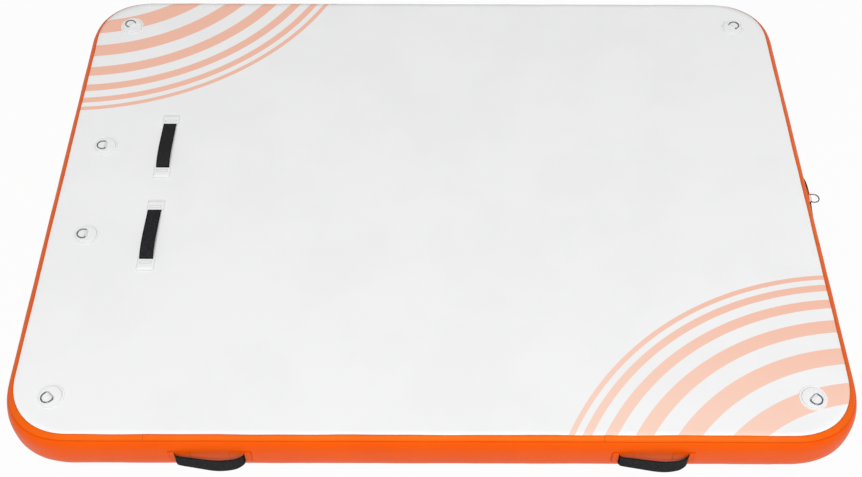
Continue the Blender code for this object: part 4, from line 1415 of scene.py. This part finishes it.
def wall_ring(name, bar, crown):
    """The ring set on the right wall: its pad is bent, and its loop stands off the wall."""
    distance = WALL_MIDDLES["right"] + bar.y
    run = MIDDLE_RUN - WALL_RING_UP
    pad = mapped(PAD, lambda x, y, z: hull_point(distance - y, run - x, z))
    base = tangent_frame(distance, run)
    local = base.inverted() @ bar
    loop = loop_mesh(loop_path(local.x, local.z, wall_mouth, WALL_LOOP_TAIL))
    wire = moved(ring_mesh(), flat_frame(bar, crown, Vector((0, 0, 1))))
    ring_set(name, pad, moved(loop, base), wire, ORANGE_PATCH)


for name, (bar, crown) in RING_PLACES.items():
    set_ring = wall_ring if bar.z < THICKNESS else deck_ring
    set_ring(name, bar, crown)
print("rings made:", ", ".join(RING_PLACES))

# %% [markdown]
# ## Carry handles
#
# A handle is one strap of webbing whose two tails are caught between a base patch and a
# cover patch. The free span bows out, steep at both ends, and on the walls its lower edge
# leans out further, the way a strap hangs that is pushed up by its own stiffness. A cloth
# simulation would sag it wrongly, because webbing is stiff, so the bow is drawn by points
# with their corners cut off.
#
# All of this is drawn once on a flat table, x along the strap, y across it and z up.
# A place function then sends it to the deck or round the curve of the wall.

# %% The strap's bow
STRAP_WIDTH = 0.043
STRAP = 0.0014
STRAP_BELLY = ((0, 0), (0.004, 0.02), (0.016, 0.34), (0.07, 0.46), (0.34, 0.74), (0.62, 1.04),
               (0.86, 0.86), (0.955, 0.50), (0.986, 0.30), (0.996, 0.02), (1, 0))
BELLY_ROUNDS = 3


def belly(share, lopsided):
    """How far a strap has risen, from 0 to 1, at a share of its span; steep at both ends."""
    spots = np.array(STRAP_BELLY)
    if lopsided < 0:
        spots = np.stack([1 - spots[::-1, 0], spots[::-1, 1]], axis=1)
    path = cut_corners(spots, BELLY_ROUNDS)
    return np.interp(share, path[:, 0], path[:, 1])


print("a strap rises most at", max(STRAP_BELLY, key=lambda spot: spot[1])[0], "of its span")

# %% Strap mesh
PATCH_BASE = 0.0009
STRAP_FLOOR = GAP + PATCH_BASE
STRAP_POCKET = STRAP + 2 * GAP
STRAP_LOW = STRAP_FLOOR + GAP
STRAP_COLUMNS = 16
SPAN_STEPS = 72
END_CROWDING = 0.85
SELVEDGE = 0.0024
HEM_RISE = 0.25
TAIL_SHADE = 0.0032


def strap_mesh(span, tail, arch, lean, lopsided, place):
    """A strap with flat tails and a bowed span, sent to its place."""
    steps = np.linspace(0, 1, SPAN_STEPS + 1)
    crowded = steps + (0.5 - 0.5 * np.cos(math.pi * steps) - steps) * END_CROWDING
    share = np.concatenate([[0.0, 0.0], crowded, [1.0, 1.0]])
    x = share * span - span / 2
    x[[0, 1, -2, -1]] = [-span / 2 - tail, -span / 2 - tail / 2, span / 2 + tail / 2, span / 2 + tail]
    rise = belly(share, lopsided)
    section = band_section(STRAP_WIDTH, STRAP, STRAP_COLUMNS)
    hem = np.exp(-((np.abs(section[:, 0]) - STRAP_WIDTH / 2 + SELVEDGE) / (SELVEDGE / 2)) ** 2)
    y, up = section[:, 0], section[:, 1] * (1 + HEM_RISE * hem)
    middle = STRAP_LOW + STRAP / 2 + rise[:, None] * (arch - lean * y[None] / STRAP_WIDTH)
    slope = np.gradient(middle, axis=0) / np.gradient(x)[:, None]
    size = np.sqrt(1 + slope ** 2)
    flat_x = x[:, None] - up[None] * slope / size
    flat_z = middle + up[None] / size
    free = np.broadcast_to(rise[:, None], flat_x.shape)
    rings = place(flat_x, np.broadcast_to(y, flat_x.shape), flat_z, free)
    along = np.concatenate([[0], np.cumsum(np.hypot(np.diff(x), np.diff(middle.mean(axis=1))))])
    across = np.concatenate([y, y[:1]])
    mesh = grid_mesh("strap", rings, around=True, capped=True, along=along, across=across)
    # Painted contact shadow within TAIL_SHADE of each cover, and darker selvedges, both through the edge
    # mark.
    painted_contact_shadow = (np.abs(x) > span / 2 - TAIL_SHADE)[:, None]
    marks = painted_contact_shadow | (np.abs(y) > STRAP_WIDTH / 2 - SELVEDGE)[None]
    return outward(mark_edges(mesh, marks))


print("strap", STRAP_WIDTH * 1000, "mm wide,", round(STRAP_LOW * 1000, 2), "mm off the hull")

# %% [markdown]
# ## Patches and stitches
#
# Under the cover the strap's tail shows as a low flat ridge. Pressing one mesh over
# another could give that, but the ridge is simple enough to write down: the cover is a
# height over x and y that eases down beside the strap and past its end. The tail is also
# sewn, round a box, and on the walls with a cross in it. Every stitch is a short bar of
# thread, half sunk in the cover, so it casts the small shadow that makes a seam readable.

# %% Patch layers
PATCH_COVER = 0.0009
PATCH_CORNER = 0.006
PATCH_CORNER_STEPS = 7
PATCH_STEPS = 16
PATCH_COLUMNS = 22
COVER_INSET = 0.0005
COVER_SLOPE = 0.0065
COVER_LOW = STRAP_FLOOR + SAME_POINT + PATCH_COVER / 2
EDGE_REACH = 0.0025


def half_width(x, first, last, width, square_start):
    """Half the width of a round-cornered patch at x."""
    end = np.clip((PATCH_CORNER - (last - x)) / PATCH_CORNER, 0, 1)
    start = np.clip((PATCH_CORNER - (x - first)) / PATCH_CORNER, 0, 1) * (not square_start)
    short = 1 - np.sqrt(1 - np.maximum(end, start) ** 2)
    return width / 2 - PATCH_CORNER * short


def patch_layer(first, last, width, thickness, height_at, square_start, place):
    """One sheet of a patch, lying at a height that may change over it."""
    corner = PATCH_CORNER * (1 - np.cos(np.linspace(0, math.pi / 2, PATCH_CORNER_STEPS)))
    square = np.linspace(0, PATCH_CORNER, 3)
    starts = first + (square if square_start else corner)
    middle = np.linspace(first + PATCH_CORNER, last - PATCH_CORNER, PATCH_STEPS)[1:-1]
    x = np.concatenate([starts, middle, last - corner[::-1]])
    halves = half_width(x, first, last, width, square_start)
    section = band_section(2.0, thickness / width * 2, PATCH_COLUMNS)
    y = section[None, :, 0] * halves[:, None]
    grid_x = np.broadcast_to(x[:, None], y.shape)
    z = height_at(grid_x, y) + section[None, :, 1] * width / 2
    rings = place(grid_x, y, z, np.zeros(y.shape))
    # The marks place painted shade, with some grime, along the patch's edges.
    away = np.minimum(halves[:, None] - np.abs(y), np.minimum(x - first, last - x)[:, None])
    mesh = mark_edges(grid_mesh("patch", rings, around=True, capped=True),
                      np.clip(1 - away / EDGE_REACH, 0, 1))
    return outward(mesh)


def cover_height(x, y, line, tail, run_out):
    """The cover's middle height: on the base outside, lifted where the strap's tail lies."""
    aside = np.maximum(np.abs(y) - STRAP_WIDTH / 2, 0)
    beyond = np.maximum(x - line - tail, 0)
    share = np.clip(1 - np.hypot(aside / COVER_SLOPE, beyond / run_out), 0, 1)
    return COVER_LOW + STRAP_POCKET * eased(share)


def end_patch(line, tail, inner, outer, margin, run_out, place):
    """The base and cover of one end, as a mesh."""
    width = STRAP_WIDTH + 2 * margin
    base = patch_layer(line - inner, line + outer, width, PATCH_BASE,
                       lambda x, y: np.full(x.shape, GAP + PATCH_BASE / 2), False, place)
    cover = patch_layer(line, line + outer - COVER_INSET, width - 2 * COVER_INSET, PATCH_COVER,
                        lambda x, y: cover_height(x, y, line, tail, run_out), True, place)
    return joined(base, cover)


print("covers ease down over", COVER_SLOPE * 1000, "mm")

# %% Stitches
STITCH = 0.0030
STITCH_PITCH = 0.0046
STITCH_RADIUS = 0.0005
STITCH_SIDES = 8
STITCH_RINGS = 7
STITCH_TIP = 0.2
STITCH_HEIGHT = COVER_LOW + STRAP_POCKET + PATCH_COVER / 2
BOX_SIDE = STRAP_WIDTH / 2 - 0.0036


def stitch_bar():
    """One stitch as rings of points: aside, along and up."""
    turns = np.linspace(0, math.tau, STITCH_SIDES, endpoint=False)
    steps = np.linspace(-1, 1, STITCH_RINGS)[:, None]
    size = STITCH_RADIUS * np.sqrt(np.maximum(1 - steps ** 4, STITCH_TIP ** 2))
    return size * np.cos(turns), steps * STITCH / 2 + 0 * turns, size * np.sin(turns)


def stitches(line, seams, place):
    """Thread bars pressed into the cover over the strap's tail, along straight seams."""
    aside, along, up = stitch_bar()
    bars = []
    for start, end in np.array(seams):
        length = np.hypot(*(end - start))
        count = round(length / STITCH_PITCH)
        way = (end - start) / length
        for k in range(count):
            middle = start + way * (k + 0.5) * length / count
            sent = place(line + middle[0] + way[0] * along - way[1] * aside,
                         middle[1] + way[1] * along + way[0] * aside, STITCH_HEIGHT + up,
                         np.zeros(up.shape))
            bars.append(grid_mesh("stitch", sent, around=True, capped=True))
    return joined(*bars)


def box_seams(near, far, crossed):
    """A sewn box between two distances past the patch's edge, with a cross in it if asked."""
    corners = [(near, -BOX_SIDE), (far, -BOX_SIDE), (far, BOX_SIDE), (near, BOX_SIDE)]
    sides = list(zip(corners, corners[1:] + corners[:1]))
    return sides + [(corners[0], corners[2]), (corners[1], corners[3])] * crossed


print("a stitch is", STITCH * 1000, "mm long, and they lie", STITCH_PITCH * 1000, "mm apart")

# %% [markdown]
# ## Setting the handles
#
# Two handles lie on the deck and five stand on the walls. Bending finished meshes over the
# wall with a modifier would also bend the free strap, which is held at its ends only. The
# place functions below get the height of the strap as well, so they can bend what is
# glued down and keep what stands free straight across.

# %% Place functions
FREE_RISE = 0.25


def deck_place(x_middle, y_middle):
    """Sends the flat table to the deck, the strap along Y."""
    base = flat_frame(Vector((x_middle, y_middle, THICKNESS)), Vector((0, 1, 0)), Vector((0, 0, 1)))
    matrix = np.array(base)

    def place(x, y, z, free):
        return np.stack([x, y, z], axis=-1) @ matrix[:3, :3].T + matrix[:3, 3]
    return place


def wall_place(distance, up):
    """Sends the flat table to a side wall; a strap's free span stays flat across."""
    run = MIDDLE_RUN - up

    def place(x, y, z, free):
        bent = hull_point(distance + x, run - y, z)
        foot = hull_point(distance + x, run, 0.0)
        out = hull_point(distance + x, run, 1.0) - foot
        flat = foot + out * z[..., None] + y[..., None] * np.array([0, 0, 1])
        return bent + (flat - bent) * np.clip(free / FREE_RISE, 0, 1)[..., None]
    return place


def turned_end(place, end):
    """The same place for the strap's other end."""
    return lambda x, y, z, free: place(end * x, end * y, z, free)


print("a strap is flat across once it has risen", FREE_RISE, "of its bow")

# %% Seven handles
DECK_HANDLE = dict(span=0.195, tail=0.030, arch=0.0155, lean=0.0, inner=0.014, outer=0.043,
                   margin=0.0065, box=(0.008, 0.0165, 0), lopsided=-1, run_out=0.0115)
WALL_HANDLE = dict(span=0.196, tail=0.015, arch=0.028, lean=0.010, inner=0.044, outer=0.019,
                   margin=0.0055, box=(0.003, 0.0145, 1), lopsided=1, run_out=COVER_SLOPE)
RIGHT_ARCH = 0.015
RIGHT_LEAN = 0.006
DECK_HANDLE_INSET = 0.3435
DECK_HANDLE_SPREAD = 0.186
WALL_HANDLE_SPREAD = 0.62
RING_STRAP_LIFT = 0.0012
STRAP_SIZES = ("span", "tail", "arch", "lean", "lopsided")
PATCH_SIZES = ("tail", "inner", "outer", "margin", "run_out")


def handle(name, place, ends, sizes, finish, thread):
    """A strap with its two end patches and their stitches."""
    line = sizes["span"] / 2
    strap = strap_mesh(*(sizes[part] for part in STRAP_SIZES), place)
    piece(f"{name}_webbing", strap, BLACK_WEBBING, [f"{name}_strap"])
    rows = []
    for end, node in zip((-1, 1), ends):
        there = turned_end(place, end)
        patch = end_patch(line, *(sizes[part] for part in PATCH_SIZES), there)
        piece(f"{node}_sheets", patch, finish, [node])
        rows.append(stitches(line, box_seams(*sizes["box"]), there))
    piece(f"{name}_stitches", outward(joined(*rows)), thread)


for label, hand in (("front", -1), ("rear", 1)):
    name = f"deck_handle_{label}"
    handle(name, deck_place(DECK_HANDLE_INSET - LENGTH / 2, hand * DECK_HANDLE_SPREAD),
           [f"{name}_front_patch", f"{name}_rear_patch"], DECK_HANDLE, WHITE_PATCH,
           THREAD)
for wall, turn in (("front", 1), ("rear", -1)):
    for label, hand in (("left", -1), ("right", 1)):
        name = f"{wall}_handle_{label}"
        spot = WALL_MIDDLES[wall] + hand * turn * WALL_HANDLE_SPREAD
        handle(name, wall_place(spot, 0.0), [f"{name}_patch_a", f"{name}_patch_b"],
               WALL_HANDLE, ORANGE_PATCH, ORANGE_THREAD)
right_bar = RING_PLACES["d_ring_right_wall"][0]
right_up = WALL_RING_UP - RING_WIRE / 2 + RING_STRAP_LIFT - STRAP_WIDTH / 2
handle("right_handle", wall_place(WALL_MIDDLES["right"] + right_bar.y, right_up),
       ["right_handle_patch_a", "right_handle_patch_b"],
       WALL_HANDLE | dict(arch=RIGHT_ARCH, lean=RIGHT_LEAN), ORANGE_PATCH,
       ORANGE_THREAD)
print("handles: two of", DECK_HANDLE["span"], "m span on the deck, five of", WALL_HANDLE["span"],
      "m on the walls")

# %% [markdown]
# ## The inflation valve
#
# The valve sits in the rear wall: a screwed body with a flange, a nut inside the wall,
# a spring-loaded stem that a finger pushes to let air out, and a cap on a tether. The
# packed model already turns these true to size, so they keep their meshes and get their
# finishes here.

# %% Valve finishes
VALVE_FINISHES = {"valve_body": PLASTIC, "valve_nut": PLASTIC, "valve_stem": PLASTIC,
                  "valve_spring": STEEL, "valve_seal": RUBBER, "valve_cap": PLASTIC,
                  "valve_cap_o_ring": RUBBER, "valve_cap_tether": PLASTIC}
for name, finish in VALVE_FINISHES.items():
    data = frame["nodes"][name].data
    if data.materials:
        frame["nodes"][name].material_slots[0].material = finish.material
    else:
        data.materials.append(finish.material)
spring_low, spring_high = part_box("valve_spring")
push = next(joint for joint in frame["joints"] if joint["name"] == "valve_stem_push")
spring_length = spring_high.y - spring_low.y
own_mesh(frame["nodes"]["valve_spring"], push["name"], axis=(0, 1, 0), anchor=spring_low,
          keep=1 + push["range_m"][0] / spring_length)
print("valve pieces", len(VALVE_FINISHES), "and a spring", round(spring_length * 1000, 1), "mm long")

# %% [markdown]
# ## Floor, light and world
#
# The photograph has a pure white ground. Turning the lamps up until the floor burns out
# would burn the white deck too, so the floor is painted instead: rays that come straight
# from the camera, or through a mirror or glass, see mostly plain white, and all other
# rays see an ordinary pale floor. The lamp is one big soft panel far in front and above,
# because the deck is lit evenly and its front edge is a little brighter than its rear.

# %% Floor
WHITE = (1, 1, 1, 1)
FLOOR_REACH = 30
FLOOR_DROP = 0.0004
FLOOR_WHITE_SHARE = 0.95
FLOOR_PLAIN = (0.62, 0.62, 0.62, 1)


def seen_share(graph):
    """One for rays from the camera, from a mirror or through glass, zero for the others."""
    seen = [graph.node("ShaderNodeLightPath", output=kind)
            for kind in ("Is Camera Ray", "Is Glossy Ray", "Is Transmission Ray")]
    return (seen[0] + seen[1] + seen[2]).least(1)


def pale_floor():
    """A wide floor that the camera sees as near white, shadows included."""
    mesh = grid_mesh("floor", [[(x * FLOOR_REACH, y * FLOOR_REACH, -FLOOR_DROP) for x in (-1, 1)]
                               for y in (-1, 1)])
    made = bpy.data.objects.new("floor", mesh)
    bpy.context.scene.collection.objects.link(made)
    material = bpy.data.materials.new("pale_floor")
    material.use_nodes = True
    nodes = material.node_tree.nodes
    nodes.remove(nodes["Principled BSDF"])
    graph = Graph(material.node_tree)
    plain = graph.node("ShaderNodeBsdfDiffuse", {}, {"Color": FLOOR_PLAIN})
    white = graph.node("ShaderNodeEmission", {}, {"Color": WHITE, "Strength": 1.0})
    mix = graph.node("ShaderNodeMixShader", {},
                     {0: seen_share(graph) * FLOOR_WHITE_SHARE, 1: plain, 2: white})
    graph.feed(nodes["Material Output"].inputs["Surface"], mix)
    mesh.materials.append(material)
    return made


print("floor", pale_floor().name)

# %% Light and world
LAMP_WAY = (0.07, -0.60, 0.797)
LAMP_FAR = 18.0
LAMP_SIZE = (8.0, 5.0)
LAMP_LEVEL = 1.03
WORLD_FILL = 0.18


def make_light():
    """One wide soft lamp, with the power that shows a colour about as it is written."""
    lamp = bpy.data.lights.new("soft_panel", "AREA")
    lamp.shape = "RECTANGLE"
    lamp.size, lamp.size_y = LAMP_SIZE
    lamp.energy = LAMP_LEVEL * math.pi ** 2 * LAMP_FAR ** 2
    made = bpy.data.objects.new("soft_panel", lamp)
    bpy.context.scene.collection.objects.link(made)
    way = Vector(LAMP_WAY)
    turn = way.to_track_quat("Z", "Y").to_matrix().to_4x4()
    made.matrix_world = Matrix.Translation(way * LAMP_FAR) @ turn
    return made


def make_world():
    """White behind everything, and a low even fill on the object."""
    world = bpy.data.worlds.new("studio")
    world.use_nodes = True
    bpy.context.scene.world = world
    graph = Graph(world.node_tree)
    background = world.node_tree.nodes["Background"]
    graph.feed(background.inputs["Color"], WHITE)
    graph.feed(background.inputs["Strength"], seen_share(graph) * (1 - WORLD_FILL) + WORLD_FILL)
    return world


bpy.context.scene.view_settings.view_transform = "Standard"
print("lamp", make_light().name, "and world", make_world().name)

# %% [markdown]
# ## The end
